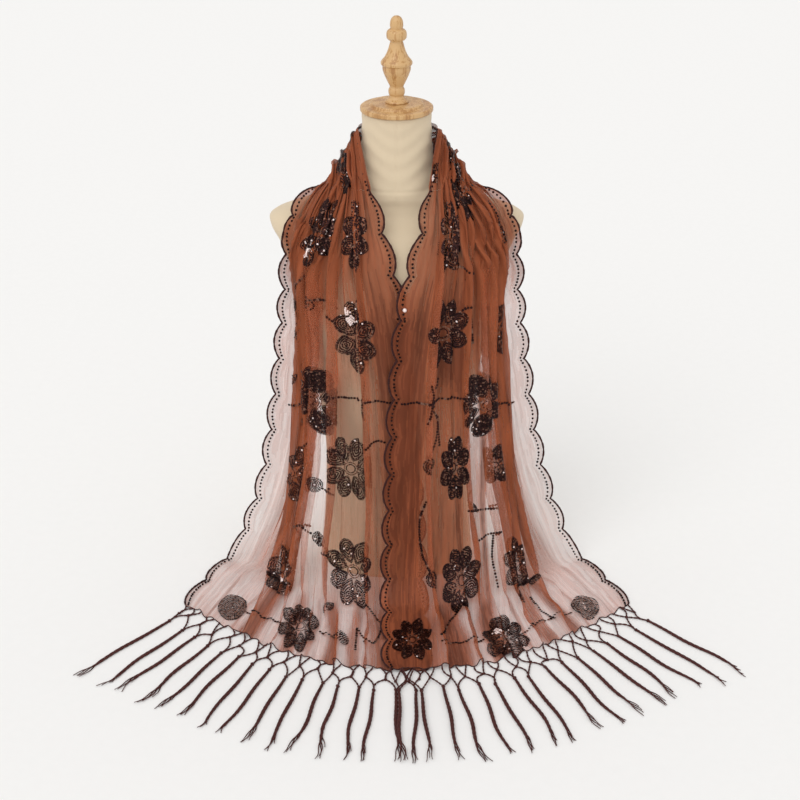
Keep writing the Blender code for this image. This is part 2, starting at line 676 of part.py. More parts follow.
def new_material(name, colour, roughness):
    """A plain material in the piece's colour."""
    material = bpy.data.materials.new(name)
    material.use_nodes = True
    shader = material.node_tree.nodes["Principled BSDF"]
    shader.inputs["Base Color"].default_value = (*colour, 1.0)
    shader.inputs["Roughness"].default_value = roughness
    shader.inputs["Metallic"].default_value = 0.0
    return material


def finish_mesh(name, mesh, material):
    """Turn a bmesh into a named object in the scene."""
    bmesh.ops.recalc_face_normals(mesh, faces=mesh.faces)
    data = bpy.data.meshes.new(name)
    mesh.to_mesh(data)
    mesh.free()
    data.materials.append(material)
    data.shade_smooth()
    data.set_sharp_from_angle(angle=math.radians(40))
    result = bpy.data.objects.new(name, data)
    bpy.context.scene.collection.objects.link(result)
    return result


def main():
    """Build the whole model."""
    for old in list(bpy.data.objects):
        bpy.data.objects.remove(old, do_unlink=True)
    linen = new_material("linen", (0.73, 0.63, 0.45), 0.85)
    wood = new_material("wood", (0.62, 0.36, 0.16), 0.45)
    net = new_material("net", (0.40, 0.10, 0.04), 0.60)
    yarn = new_material("yarn", (0.10, 0.02, 0.015), 0.70)
    form_body(linen)
    turned_piece("neck_cap", CAP_PROFILE, CAP_FOOT, CAP_SIDES, wood)
    turned_piece("finial", FINIAL_PROFILE, FINIAL_FOOT, FINIAL_SIDES, wood)
    stole_stretch("stole_nape", nape_stations(), net)
    for side, name in ((-1, "left"), (1, "right")):
        stole_stretch(f"stole_{name}_front", front_stations(side), net)
        fringe(f"fringe_{name}", side, yarn)


main()
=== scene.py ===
"""Evening stole of embroidered net, draped on a limbless linen bust form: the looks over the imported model.

Metres, +Z up, the form faces -Y. A place on the cloth is (side, along, wide): side is LEFT or RIGHT as seen
from the front, along runs from the middle of the nape to the hem, and wide from 0 at the inner edge to
CLOTH_WIDTH at the outer edge.
"""
import math

import bpy
import numpy as np
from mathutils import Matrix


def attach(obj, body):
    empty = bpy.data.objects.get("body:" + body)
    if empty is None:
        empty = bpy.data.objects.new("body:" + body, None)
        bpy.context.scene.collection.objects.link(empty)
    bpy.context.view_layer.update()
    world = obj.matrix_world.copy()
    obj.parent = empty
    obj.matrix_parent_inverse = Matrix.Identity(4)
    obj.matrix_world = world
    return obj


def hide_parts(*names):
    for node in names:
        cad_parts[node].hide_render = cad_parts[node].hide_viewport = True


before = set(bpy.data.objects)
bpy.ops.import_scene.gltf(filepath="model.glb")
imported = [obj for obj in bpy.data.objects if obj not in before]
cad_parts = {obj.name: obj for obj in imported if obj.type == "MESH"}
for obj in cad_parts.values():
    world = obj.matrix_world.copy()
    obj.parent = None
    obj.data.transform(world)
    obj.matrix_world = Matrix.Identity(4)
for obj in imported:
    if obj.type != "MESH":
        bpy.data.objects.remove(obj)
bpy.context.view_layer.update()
CHANCE = np.random.default_rng(7)
LEFT, RIGHT = -1, 1
UP = np.array([0.0, 0.0, 1.0])

# Camera at the photograph's viewing angle
CAMERA_PLACE = (0.005, -2.345, 1.4525)
CAMERA_TURN = (math.radians(63.6), 0.0, 0.0)
CAMERA_LENS, CAMERA_SENSOR, CAMERA_REACH = 72.0, 36.0, 300.0

# Floor, sky and the one soft light
FLOOR_REACH = 120.0
SKY_COLOUR, SKY_STRENGTH = (1.0, 0.995, 0.985, 1.0), 0.80
KEY_TURN, KEY_STRENGTH, KEY_ANGLE = (math.radians(38), math.radians(-22), 0.0), 1.05, math.radians(50)

# Stole: its cut and its edges
CLOTH_WIDTH = 0.48
SCALLOP_PITCH = 0.065
SCALLOP_DEPTH = 0.011
SCALLOP_FULLNESS = 0.75
WALL = 0.0012
SEAM_GAP = 0.0003
HALF_LENGTH = 16 * SCALLOP_PITCH
SEAM_ALONG = 3 * SCALLOP_PITCH

# The drape: one row for each station along the stole, from the middle of the nape to the hem.
# in_ is the edge by the neck and centre front, out_ the outer edge; x is measured outwards from the centre.
# flare hollows the row between neck and shoulder, or bulges it where it is negative,
# wrap bows it round the chest, drift moves it to +X.
DRAPE_COLUMNS = ("along", "in_x", "in_y", "in_z", "out_x", "out_y", "out_z", "flare", "wrap", "drift")
DRAPE = (
    (0.000, 0.0000, 0.0600, 0.7400, 0.0000, 0.1060, 0.5700, 0.45, 0.00, 0.0000),
    (0.050, 0.0440, 0.0430, 0.7440, 0.0400, 0.1010, 0.5780, 0.10, 0.00, 0.0010),
    (0.100, 0.0600, -0.0080, 0.7480, 0.0740, 0.0820, 0.6060, -0.50, 0.00, 0.0020),
    (0.150, 0.0510, -0.0490, 0.7120, 0.1010, 0.0430, 0.6450, -0.80, 0.00, 0.0030),
    (0.200, 0.0430, -0.0730, 0.6660, 0.1290, -0.0060, 0.6540, -0.10, 0.10, 0.0050),
    (0.260, 0.0310, -0.0930, 0.6120, 0.1650, -0.0440, 0.6230, 0.00, 0.85, 0.0080),
    (0.325, 0.0130, -0.1120, 0.5520, 0.1760, -0.0500, 0.5620, 0.00, 1.00, 0.0070),
    (0.390, 0.0000, -0.1230, 0.4860, 0.1800, -0.0430, 0.5010, 0.00, 1.00, 0.0070),
    (0.455, -0.0060, -0.1260, 0.4210, 0.1865, -0.0380, 0.4420, 0.00, 1.00, 0.0070),
    (0.585, -0.0155, -0.1280, 0.2895, 0.2030, -0.0330, 0.3150, 0.00, 1.00, 0.0085),
    (0.715, -0.0225, -0.1290, 0.1590, 0.2250, -0.0310, 0.1850, 0.00, 1.00, 0.0105),
    (0.780, -0.0255, -0.1330, 0.0960, 0.2435, -0.0300, 0.1200, 0.00, 1.00, 0.0115),
    (0.845, -0.0275, -0.1500, 0.0380, 0.2660, -0.0290, 0.0600, 0.00, 1.00, 0.0115),
    (0.900, -0.0280, -0.1900, 0.0010, 0.2940, -0.0300, 0.0050, 0.00, 1.00, 0.0125),
    (0.960, -0.0280, -0.2560, 0.0000, 0.3240, -0.0790, 0.0000, 0.00, 1.00, 0.0140),
    (1.040, -0.0280, -0.3470, 0.0000, 0.3590, -0.1670, 0.0000, 0.00, 1.00, 0.0160),
)
WRAP_FULLNESS, LYING_FULLNESS = 2.1, 1.25
CLEARANCE = 0.0070
# How far the cloth may be moved out of the form and how deep a fold may be, each found by halving
MOST_OUT, OUT_HALVINGS = 0.05, 10
MOST_DEEP, DEEP_HALVINGS = 0.06, 18

# The pleats where the ends hang: one row for each fold, from the inner edge to the outer.
# wide is its share of the row, deep how far it stands out beside the others.
FOLD_COLUMNS = ("left_wide", "left_deep", "right_wide", "right_deep", "neck_deep")
FOLDS = (
    (0.235, 0.04, 0.160, 0.06, 0.15),
    (0.065, 0.85, 0.075, 0.90, 0.75),
    (0.090, 0.22, 0.100, 0.20, 0.60),
    (0.090, 0.20, 0.085, 0.35, 0.80),
    (0.055, 0.90, 0.075, 0.80, 0.70),
    (0.075, 0.10, 0.080, 0.10, 0.90),
    (0.042, 1.05, 0.045, 0.90, 0.80),
    (0.044, 0.98, 0.045, 1.05, 0.90),
    (0.042, 1.10, 0.050, 1.15, 0.75),
    (0.046, 1.00, 0.050, 0.95, 0.75),
    (0.065, 0.30, 0.065, 0.35, 0.45),
    (0.150, 0.06, 0.155, 0.06, 0.10),
)
FOLD_COUNT = len(FOLDS)
NECK_BORDER_WIDE = 0.12
HEM_BORDER_WIDE, HEM_BORDER_DEEP = 0.18, 0.10
HEM_EVEN_DEEP, HEM_UNEVEN_DEEP = 0.45, 0.65
NECK_ENDS, HANG_STARTS = 0.17, 0.40
HANG_ENDS, HEM_STARTS = 0.80, 1.00
PLEAT_NECK, PLEAT_GROWS = 0.0088, 0.0165
LEAN_NECK, LEAN_HANG, LEAN_FLOOR = 0.5, 1.2, 1.5
LEAN_EASES, LEAN_SETTLES = 0.50, 0.88

# The right end lies over the left one at the centre front
LIFT_HANGING, LIFT_LYING = 0.0085, 0.0045
LIFT_STARTS, LIFT_FULL = 0.26, 0.34
LIFT_SHARE, LIFT_FADE = 0.24, 0.36
LIFT_SHARE_HEM, LIFT_FADE_HEM = 0.19, 0.30

# The grid that the net is measured on, and its finer gathers
ROW_STEP = SCALLOP_PITCH / 16
COLUMN_STEP = 0.0016
GRID_MARGIN = 0.016
ROW_MARGIN, ROW_POINTS = 0.13, 1009
EDGE_STRETCH = 0.030
FACING_COLUMNS = 16
# Gathers by the neck, long folds, slack, and creases on the floor: the way they run, the seed and how far it
# differs by side, the pitch, how uneven that is, where along the stole they are none and full, and how high
CREASES = (
    ("lengthwise", 11, 0, 0.024, 0.30, 0.46, 0.20, 0.0046),
    ("lengthwise", 21, 0, 0.009, 0.30, 0.36, 0.14, 0.0010),
    ("lengthwise", 12, 1, 0.034, 0.30, 0.20, 0.40, 0.0018),
    ("lengthwise", 22, 1, 0.012, 0.30, 0.25, 0.45, 0.0005),
    ("crosswise", 15, 1, 0.170, 0.30, 0.15, 0.30, 0.0012),
    ("lying", 18, 1, 0.060, 0.40, 0.86, 0.95, 0.0015),
)
CREASE_SWAY, CREASE_TURNS, CREASE_MARGIN = 0.010, 9.0, 0.03
CROSSWISE_SLANT, LYING_SLANT = 0.35, 0.8
HEM_WAVE, HEM_WAVE_STARTS, HEM_WAVE_PITCH, HEM_WAVE_UNEVEN = 0.0035, 1.015, 0.034, 0.4
TUCK_STARTS, TUCK_ENDS = 0.165, 0.215
TUCK_WIDE, TUCK_UNDER = 0.012, 0.0022
FLOOR_ROOM, FLOOR_GAP = 0.0006, 0.0002

# Cords on the edges and the beads inside them
HEM_CORD, HEM_CORD_POINTS = 0.0008, 200
EDGE_CORD, EDGE_CORD_UNEVEN = 0.0015, 0.00022
CORD_STEP, CORD_LIFT = 0.0020, 0.0003
BEADS_INSET, BEADS_FOLLOW = 0.0068, 0.86
BEAD_STEP, BEAD_LIFT = 0.0011, 0.0005
BEAD_PROFILE = (0.00100, 0.00175, 0.00175, 0.00100)
PIN_BEAD, PIN_LIFT, PIN_ALONG, PIN_WIDE = 0.0032, 0.0030, 0.374, 0.003

# Fringe: two rows of knots, and the tails of each tassel
TASSELS = 16
KNOT_ROW_1, KNOT_UNEVEN_1 = 0.025, 0.005
KNOT_ROW_2, KNOT_UNEVEN_2 = 0.053, 0.006
END_KNOT, ROOT_SPLAY = 0.34, 0.30
UPPER_BOW, UPPER_BOW_UNEVEN = 0.0022, 0.0036
LOWER_BOW, LOWER_BOW_UNEVEN = 0.0030, 0.0045
STRAND_RADIUS, STRAND_REST, STRAND_STEP, STRAND_TURN = 0.0012, 0.0020, 0.0025, 1.1
# A strand's two yarns: their shares of its radius, apart and thick, and how flat they are wound
YARNS_APART, YARNS_THICK, YARNS_FLAT = 0.55, 0.72, 0.7
UPPER_KNOT, LOWER_KNOT = 0.0027, 0.0033
LOOP_REACH, LOOP_THICK = 0.62, 0.36
TAIL_LONG, TAIL_YARNS = 0.173, 4
YARN_RADIUS, YARN_OFF, YARN_TURN = 0.00122, 0.0014, 0.0065
SIDE_TAIL_GROWS, SIDE_TAIL_STARTS = 0.15, 0.78
TAIL_SWAY, TAIL_BEND, TAIL_WAVE, TAIL_STEP = 0.022, (0.0020, 0.0055), 0.021, 0.0030
# Where along a tail its yarns part, how far they part, and how uneven the tails' height is
TAIL_PARTS, TAIL_SPREAD, TAIL_ROLL = (0.62, 0.90), 0.0036, 0.0008
FRINGE_TURN = math.radians(43)
CROSSING_LIFT = 0.0024
CROSSING_ENDS, CROSSING_FADE = 0.055, 0.100

# Embroidery: along, wide, size, wider and glint of each motif. size is a share of the full flower, or metres
# for a disc or leaf; wider is how far it is drawn out across the cloth, glint its share of sequins painted
# pale as glints.
MOTIFS = {
    LEFT: {
        "flower": (
            (0.268, 0.084, 0.98, 1.25, 0.03), (0.278, 0.272, 0.98, 2.10, 0.08),
            (0.428, 0.096, 1.04, 1.22, 0.06), (0.557, 0.243, 1.04, 1.90, 0.04),
            (0.658, 0.134, 1.00, 1.12, 0.03), (0.700, 0.345, 0.95, 1.30, 0.08),
            (0.841, 0.128, 1.00, 1.12, 0.03), (0.885, 0.330, 0.85, 1.40, 0.10),
            (0.982, 0.240, 0.92, 1.05, 0.03), (0.430, 0.400, 0.85, 1.60, 0.05),
            (0.128, 0.245, 0.85, 1.70, 0.10), (0.090, 0.085, 0.80, 1.00, 0.06),
            (0.176, 0.160, 0.62, 1.40, 0.03),
        ),
        "disc": (
            (0.705, 0.228, 0.0125, 1.00, 0.03), (0.802, 0.215, 0.0115, 1.00, 0.03),
            (0.999, 0.398, 0.0270, 1.00, 0.00), (0.388, 0.252, 0.0140, 2.60, 0.05),
            (0.640, 0.200, 0.0085, 1.00, 0.00), (0.985, 0.145, 0.0110, 1.00, 0.02),
        ),
        "leaf": (
            (0.915, 0.178, 0.036, 1.00, 0.02), (0.600, 0.330, 0.034, 1.00, 0.02),
            (0.540, 0.400, 0.030, 1.00, 0.02),
        ),
    },
    RIGHT: {
        "flower": (
            (0.268, 0.100, 1.00, 1.30, 0.03), (0.420, 0.112, 1.00, 1.15, 0.02),
            (0.560, 0.225, 1.02, 1.60, 0.06), (0.655, 0.137, 1.02, 0.62, 0.02),
            (0.672, 0.264, 0.62, 1.30, 0.10), (0.857, 0.146, 1.02, 0.85, 0.02),
            (0.862, 0.306, 0.90, 1.10, 0.06), (1.000, 0.222, 0.95, 1.10, 0.02),
            (0.975, 0.038, 0.86, 0.90, 0.01), (0.440, 0.330, 0.85, 1.20, 0.04),
            (0.205, 0.215, 0.85, 1.50, 0.10), (0.120, 0.150, 0.80, 1.40, 0.08),
            (0.080, 0.330, 0.90, 1.00, 0.05),
        ),
        "disc": (
            (0.282, 0.400, 0.0140, 1.60, 0.02), (0.414, 0.058, 0.0120, 1.00, 0.00),
            (0.636, 0.074, 0.0150, 1.40, 0.00), (1.004, 0.406, 0.0250, 1.00, 0.00),
            (0.466, 0.420, 0.0110, 1.20, 0.00), (0.848, 0.083, 0.0150, 1.20, 0.00),
            (0.905, 0.352, 0.0110, 1.00, 0.00), (0.170, 0.020, 0.0130, 1.00, 0.10),
        ),
        "leaf": (
            (0.925, 0.290, 0.042, 1.00, 0.02), (0.735, 0.190, 0.030, 1.00, 0.02),
            (0.545, 0.160, 0.034, 1.00, 0.02),
        ),
    },
}
FLOWER_TALL, FLOWER_WIDE = 0.058, 0.043
PETALS, PETAL_HALF, PETAL_FOOT, PETAL_MIDDLE = 8, 0.245, 0.27, 0.68
RING_REACHES, RING_WIDER, RING_RADIUS = (0.13, 0.195), 1.15, 0.0013
DISC_STEP, DISC_RADIUS, LARGE_DISC = 0.0030, 0.00165, 0.020
LEAF_HALF, LEAF_RADIUS, LEAF_PITCHES = 0.30, 0.0015, (0.0025, 0.0028, 0.0030)
# A sequin's sides, tilt, height over the net, cupping as a share of its radius, and lowest point
SEQUIN_SIDES, SEQUIN_TILT, SEQUIN_LIFT = 6, 0.30, (0.0005, 0.0010)
SEQUIN_CUP, SEQUIN_LOWEST = 0.30, 0.0008
# Rows of sequins in one petal: its share of the petal, and the sequins' pitch and radius
PETAL_ROWS = (
    (1.03, 0.0022, 0.00110),
    (0.88, 0.0029, 0.00160),
    (0.66, 0.0029, 0.00165),
    (0.42, 0.0029, 0.00165),
    (0.18, 0.0029, 0.00160),
)
# A petal that is drawn out this far has a second row inside each, at this share of the petal
WIDE_PETAL, SECOND_ROW = 1.5, 0.11
# How far motifs keep from the long edges and from the hem
MOTIF_INSET, MOTIF_HEM_INSET = 0.004, 0.002
# Shares of sequins in the other tone, and of pale ones painted as glints anywhere, in a motif's lit part and
# beside it; the lit part is painted light on a random side of each motif, and reaches to where the cosine
# round the motif falls to the last of these
OTHER_TONE, CHAIN_TONE = 0.13, 0.15
PAINTED_GLINT_ANYWHERE, PAINTED_GLINT_LIT, PAINTED_GLINT_BESIDE, PAINTED_LIT_PART = 0.003, 0.25, 0.04, 0.55
# Patches of sequins painted pale as glints where they catch the light, how uneven their rims are, and along,
# wide and reach of each
PAINTED_GLINT_UNEVEN = (0.6, 1.1)
PAINTED_GLINTS = {
    LEFT: (
        (0.309, 0.300, 0.0110), (0.293, 0.310, 0.0080), (0.400, 0.116, 0.0090), (0.386, 0.120, 0.0060),
        (0.402, 0.330, 0.0060), (0.892, 0.332, 0.0120), (0.852, 0.110, 0.0050), (0.140, 0.262, 0.0110),
        (0.108, 0.205, 0.0080), (0.640, 0.350, 0.0070),
    ),
    RIGHT: (
        (0.176, 0.010, 0.0065), (0.985, 0.208, 0.0080), (0.560, 0.262, 0.0050), (0.130, 0.118, 0.0060),
        (1.010, 0.120, 0.0050),
    ),
}

# Chains of small sequins: the places on the cloth, along and wide, that each chain runs through
CHAINS = {
    LEFT: (
        ((0.532, 0.012), (0.532, 0.080), (0.534, 0.130), (0.545, 0.190)),
        ((0.566, 0.290), (0.580, 0.370), (0.597, 0.455)),
        ((0.500, 0.086), (0.520, 0.083), (0.540, 0.079), (0.562, 0.084)),
        ((0.385, 0.255), (0.378, 0.200), (0.392, 0.165), (0.408, 0.145)),
        ((0.430, 0.290), (0.465, 0.310), (0.500, 0.300), (0.520, 0.285)),
        ((0.700, 0.173), (0.715, 0.190), (0.712, 0.215)), ((0.612, 0.078), (0.600, 0.060), (0.602, 0.045)),
        ((0.802, 0.215), (0.818, 0.195), (0.825, 0.172)),
        ((0.795, 0.230), (0.785, 0.265), (0.800, 0.300), (0.830, 0.322)),
        ((0.895, 0.095), (0.925, 0.070), (0.955, 0.055), (0.985, 0.050)),
        ((0.995, 0.370), (0.990, 0.330), (0.985, 0.285)), ((0.978, 0.195), (0.985, 0.165), (0.982, 0.150)),
        ((0.925, 0.060), (0.990, 0.085), (0.955, 0.120), (1.010, 0.120)),
        ((0.320, 0.070), (0.350, 0.085), (0.372, 0.100)), ((0.315, 0.300), (0.345, 0.330), (0.385, 0.350)),
        ((0.150, 0.300), (0.120, 0.270), (0.110, 0.255)), ((0.640, 0.290), (0.660, 0.310), (0.672, 0.325)),
    ),
    RIGHT: (
        ((0.528, 0.012), (0.529, 0.060), (0.532, 0.130), (0.545, 0.190)),
        ((0.566, 0.300), (0.577, 0.370), (0.589, 0.450)), ((0.528, 0.062), (0.505, 0.100), (0.495, 0.104)),
        ((0.530, 0.062), (0.552, 0.098), (0.585, 0.106), (0.610, 0.108)),
        ((0.498, 0.060), (0.515, 0.064), (0.545, 0.062), (0.562, 0.057)),
        ((0.395, 0.132), (0.380, 0.160), (0.378, 0.190), (0.400, 0.200), (0.450, 0.204)),
        ((0.223, 0.250), (0.212, 0.300), (0.205, 0.350), (0.215, 0.390), (0.250, 0.400), (0.270, 0.402)),
        ((0.310, 0.120), (0.320, 0.150), (0.340, 0.175)),
        ((0.735, 0.160), (0.742, 0.190), (0.748, 0.230), (0.745, 0.260)),
        ((0.700, 0.170), (0.720, 0.182), (0.742, 0.190)), ((0.800, 0.190), (0.792, 0.225), (0.800, 0.262)),
        ((0.792, 0.225), (0.830, 0.222), (0.880, 0.232)),
        ((0.905, 0.140), (0.935, 0.120), (0.965, 0.100), (0.975, 0.085)),
        ((0.990, 0.085), (0.988, 0.130), (0.992, 0.180)), ((1.000, 0.255), (0.992, 0.310), (1.000, 0.375)),
        ((0.935, 0.315), (0.965, 0.322), (1.000, 0.335)), ((0.620, 0.090), (0.590, 0.100), (0.560, 0.104)),
        ((0.700, 0.060), (0.740, 0.050), (0.800, 0.056), (0.835, 0.072)),
        ((0.140, 0.130), (0.170, 0.160), (0.190, 0.190)),
    ),
}
CHAIN_PITCH, CHAIN_RADIUS = 0.0046, 0.0023

# How much light the net stops where it hangs: places across the cloth, and the share stopped there; a higher
# share also picks a darker net colour, partly painted shade of dense folds
COVER = {
    LEFT: (
        (0.000, 0.82), (0.045, 0.82), (0.055, 0.60), (0.086, 0.60), (0.095, 0.34), (0.140, 0.29),
        (0.147, 0.30), (0.150, 0.52), (0.153, 0.28), (0.186, 0.30), (0.193, 0.60), (0.203, 0.58),
        (0.208, 0.24), (0.272, 0.24), (0.282, 0.62), (0.295, 0.66), (0.300, 0.56), (0.320, 0.68),
        (0.405, 0.72), (0.430, 0.62), (0.440, 0.55), (0.480, 0.50),
    ),
    RIGHT: (
        (0.000, 0.82), (0.046, 0.82), (0.056, 0.46), (0.070, 0.42), (0.088, 0.54), (0.096, 0.76),
        (0.138, 0.76), (0.143, 0.88), (0.150, 0.86), (0.155, 0.60), (0.176, 0.60), (0.180, 0.76),
        (0.185, 0.74), (0.189, 0.60), (0.204, 0.62), (0.208, 0.84), (0.214, 0.82), (0.219, 0.26),
        (0.262, 0.26), (0.272, 0.60), (0.300, 0.60), (0.330, 0.72), (0.405, 0.74), (0.434, 0.64),
        (0.442, 0.48), (0.480, 0.42),
    ),
}
# Zones where the form behind or the light changes that, and with it the net's colour: painted shade where a
# zone raises it and painted light where it lowers it. By how much, then where the zone starts, is whole,
# ends and is gone, first across the cloth and then along it
ALWAYS, NEVER = (-2.0, -1.0), (8.0, 9.0)
SHADE_AND_LIGHT_ZONES = (
    (-0.20, (0.440, 0.452, *NEVER), (0.50, 0.85, *NEVER)),
    (0.16, (0.094, 0.104, 0.182, 0.190), (*ALWAYS, 0.46, 0.56)),
    (-0.10, (0.094, 0.104, 0.182, 0.190), (0.48, 0.56, 0.66, 0.76)),
    (0.08, (*ALWAYS, 0.044, 0.054), (*ALWAYS, 0.60, 0.95)),
)
# Folds that run on over the floor to the hem: place across the cloth, half width and cover; the cover darkens
# the net along each fold, partly painted shade
HEM_FOLDS = {
    LEFT: (
        (0.035, 0.060, 0.52), (0.124, 0.010, 0.36), (0.168, 0.014, 0.46), (0.206, 0.004, 0.22),
        (0.252, 0.014, 0.34), (0.335, 0.021, 0.50), (0.372, 0.003, 0.18), (0.430, 0.003, 0.16),
    ),
    RIGHT: (
        (0.035, 0.060, 0.56), (0.118, 0.026, 0.56), (0.158, 0.006, 0.36), (0.200, 0.018, 0.54),
        (0.262, 0.004, 0.22), (0.306, 0.013, 0.38), (0.354, 0.013, 0.46), (0.392, 0.003, 0.18),
        (0.440, 0.003, 0.16),
    ),
}
HEM_COVER, HEM_RIM_COVER = 0.27, 0.05
GATHERED_COVER, SLIT_COVER, LINE_COVER, STREAK_COVER = 0.75, 0.22, 0.045, 0.055
# Where along the stole slits open between the gathers, the gathers end, the net lies down and its rim starts
SLITS_OPEN, GATHERS_END, LIES_DOWN, RIM_STARTS = (0.24, 0.34), (0.44, 0.30), (0.84, 0.94), 0.98
SLIT_PITCH, LINE_PITCH = 0.045, 0.0075

# The net's finishes, from open to close: the share of light stopped, and the colour's red, green and blue;
# the colour darkens towards the close levels as painted shade of deep folds that light does not reach
NET_COVERS_AND_SHADES = (
    (0.22, 0.500, 0.150, 0.078), (0.30, 0.480, 0.136, 0.066), (0.38, 0.450, 0.124, 0.058),
    (0.46, 0.420, 0.114, 0.052), (0.54, 0.395, 0.106, 0.046), (0.62, 0.370, 0.099, 0.042),
    (0.70, 0.345, 0.093, 0.038), (0.78, 0.310, 0.083, 0.034), (0.84, 0.225, 0.060, 0.026),
    (0.90, 0.165, 0.042, 0.018),
)
STREAK_LONG, STREAK_COUNT, STREAK_LINES = 0.030, 80, 1024

# Bust form: rings from the floor to the neck, with the half width and the depths to the front and back
FORM_COLUMNS = ("height", "half_wide", "front", "back")
FORM = (
    (0.000, 0.1240, 0.0850, 0.0850),
    (0.006, 0.1260, 0.0870, 0.0870),
    (0.100, 0.1200, 0.0840, 0.0830),
    (0.200, 0.1170, 0.0840, 0.0790),
    (0.300, 0.1250, 0.0940, 0.0810),
    (0.400, 0.1400, 0.1080, 0.0870),
    (0.470, 0.1530, 0.1130, 0.0910),
    (0.530, 0.1660, 0.1080, 0.0920),
    (0.575, 0.1830, 0.0960, 0.0880),
    (0.596, 0.1940, 0.0830, 0.0780),
    (0.608, 0.1965, 0.0720, 0.0690),
    (0.618, 0.1860, 0.0630, 0.0620),
    (0.628, 0.1600, 0.0580, 0.0580),
    (0.639, 0.1250, 0.0570, 0.0560),
    (0.652, 0.0900, 0.0600, 0.0550),
    (0.668, 0.0690, 0.0580, 0.0545),
    (0.690, 0.0590, 0.0540, 0.0530),
    (0.730, 0.0535, 0.0510, 0.0510),
    (0.7735, 0.0520, 0.0500, 0.0500),
)
FORM_SQUARE, NECK_SQUARE = 2.3, 2.0
SQUARE_ENDS, NECK_STARTS = 0.60, 0.67
COVER_SIDES, TURNED_SIDES, TURNED_LEAST = 144, 96, 0.0002
# Rings of the cover, coarse below the shoulders and fine above: first height, last height and number
COVER_LOW, COVER_HIGH = (0.0, 0.56, 113), (0.563, FORM[-1][0], 106)
# Seams of the cover down the middle and round the neck's foot, and the wrinkles above
SEAM_DEEP, SEAM_WIDE = 0.0009, 0.0016
NECK_SEAM, NECK_SEAM_DEEP, NECK_SEAM_WIDE = 0.664, 0.0010, 0.0020
WRINKLE, WRINKLES_START, WRINKLES_FULL = 0.0005, 0.63, 0.66

# Neck cap and finial, turned: radius, and height above the piece's own foot
CAP_FOOT = 0.7738
CAP_PROFILE = (
    (0.0000, 0.0000), (0.0525, 0.0000), (0.0550, 0.0018), (0.0550, 0.0062), (0.0525, 0.0080),
    (0.0420, 0.0084), (0.0405, 0.0095), (0.0400, 0.0118), (0.0380, 0.0128), (0.0000, 0.0128),
)
FINIAL_FOOT = CAP_FOOT + CAP_PROFILE[-1][1] + 0.0003
FINIAL_PROFILE = (
    (0.0000, 0.0000), (0.0175, 0.0000), (0.0180, 0.0016), (0.0165, 0.0035), (0.0125, 0.0065),
    (0.0108, 0.0105), (0.0121, 0.0135), (0.0124, 0.0170), (0.0118, 0.0205), (0.0104, 0.0230),
    (0.0106, 0.0250), (0.0125, 0.0290), (0.0165, 0.0375), (0.0198, 0.0455), (0.0212, 0.0514),
    (0.0211, 0.0550), (0.0234, 0.0578), (0.0237, 0.0604), (0.0225, 0.0627), (0.0172, 0.0695),
    (0.0128, 0.0795), (0.0102, 0.0885), (0.0094, 0.0918), (0.0122, 0.0938), (0.0148, 0.0972),
    (0.0151, 0.1012), (0.0146, 0.1054), (0.0118, 0.1088), (0.0092, 0.1100), (0.0099, 0.1150),
    (0.0093, 0.1210), (0.0068, 0.1262), (0.0030, 0.1287), (0.0000, 0.1287),
)


def smooth(none_at, full_at, value):
    """A level start and end between 0 and 1, which are reached at two values in either order."""
    share = np.clip((value - none_at) / (full_at - none_at), 0.0, 1.0)
    return share * share * (3.0 - 2.0 * share)


def level_curve(places, values, at):
    """Smooth curve through a table's values that never swings past them."""
    steps = np.diff(places)
    slopes = np.diff(values) / steps
    rises = slopes[:-1] * slopes[1:] > 0.0
    bottom = np.where(rises, slopes[:-1] + slopes[1:], 1.0)
    inner = np.where(rises, 2.0 * slopes[:-1] * slopes[1:] / bottom, 0.0)
    tangents = np.concatenate(([slopes[0]], inner, [slopes[-1]]))
    index = np.clip(np.searchsorted(places, at, side="right") - 1, 0, len(steps) - 1)
    step = steps[index]
    share = (at - places[index]) / step
    return (
        values[index] * (1.0 + 2.0 * share) * (1.0 - share) ** 2
        + tangents[index] * step * share * (1.0 - share) ** 2
        + values[index + 1] * share**2 * (3.0 - 2.0 * share)
        + tangents[index + 1] * step * share**2 * (share - 1.0)
    )


def run_along(points):
    """Distance along a line of points, from its first."""
    return np.concatenate(([0.0], np.cumsum(np.linalg.norm(np.diff(points, axis=0), axis=1))))


def mirrored_drape():
    """The drape with its second row mirrored before the nape, so that its curves cross the nape smoothly."""
    rows = np.array(DRAPE)
    mirrored = rows[1].copy()
    for name in ("along", "in_x", "out_x", "drift"):
        mirrored[DRAPE_COLUMNS.index(name)] *= -1.0
    return np.vstack((mirrored, rows))


DRAPE_BY = dict(zip(DRAPE_COLUMNS, mirrored_drape().T))
FOLD_BY = dict(zip(FOLD_COLUMNS, np.array(FOLDS).T))
FORM_BY = dict(zip(FORM_COLUMNS, np.array(FORM).T))


def drape(name, along):
    """Value of one column of the drape at a distance along the stole."""
    return float(level_curve(DRAPE_BY["along"], DRAPE_BY[name], along))


def form_ring(heights):
    """Half width, front, back and squareness of the form at some heights."""
    places = FORM_BY["height"]
    heights = np.clip(heights, places[0], places[-1])
    columns = [level_curve(places, FORM_BY[name], heights) for name in FORM_COLUMNS[1:]]
    square = FORM_SQUARE + (NECK_SQUARE - FORM_SQUARE) * smooth(SQUARE_ENDS, NECK_STARTS, heights)
    return (*columns, square)


def form_share(points):
    """How far out points lie at their height: 1 is just clear of the form."""
    half_wide, front, back, square = form_ring(points[:, 2] - CLEARANCE)
    depth = np.where(points[:, 1] > 0.0, back, front) + CLEARANCE
    sideways = np.abs(points[:, 0]) / (half_wide + CLEARANCE)
    return (sideways**square + (np.abs(points[:, 1]) / depth) ** square) ** (1.0 / square)


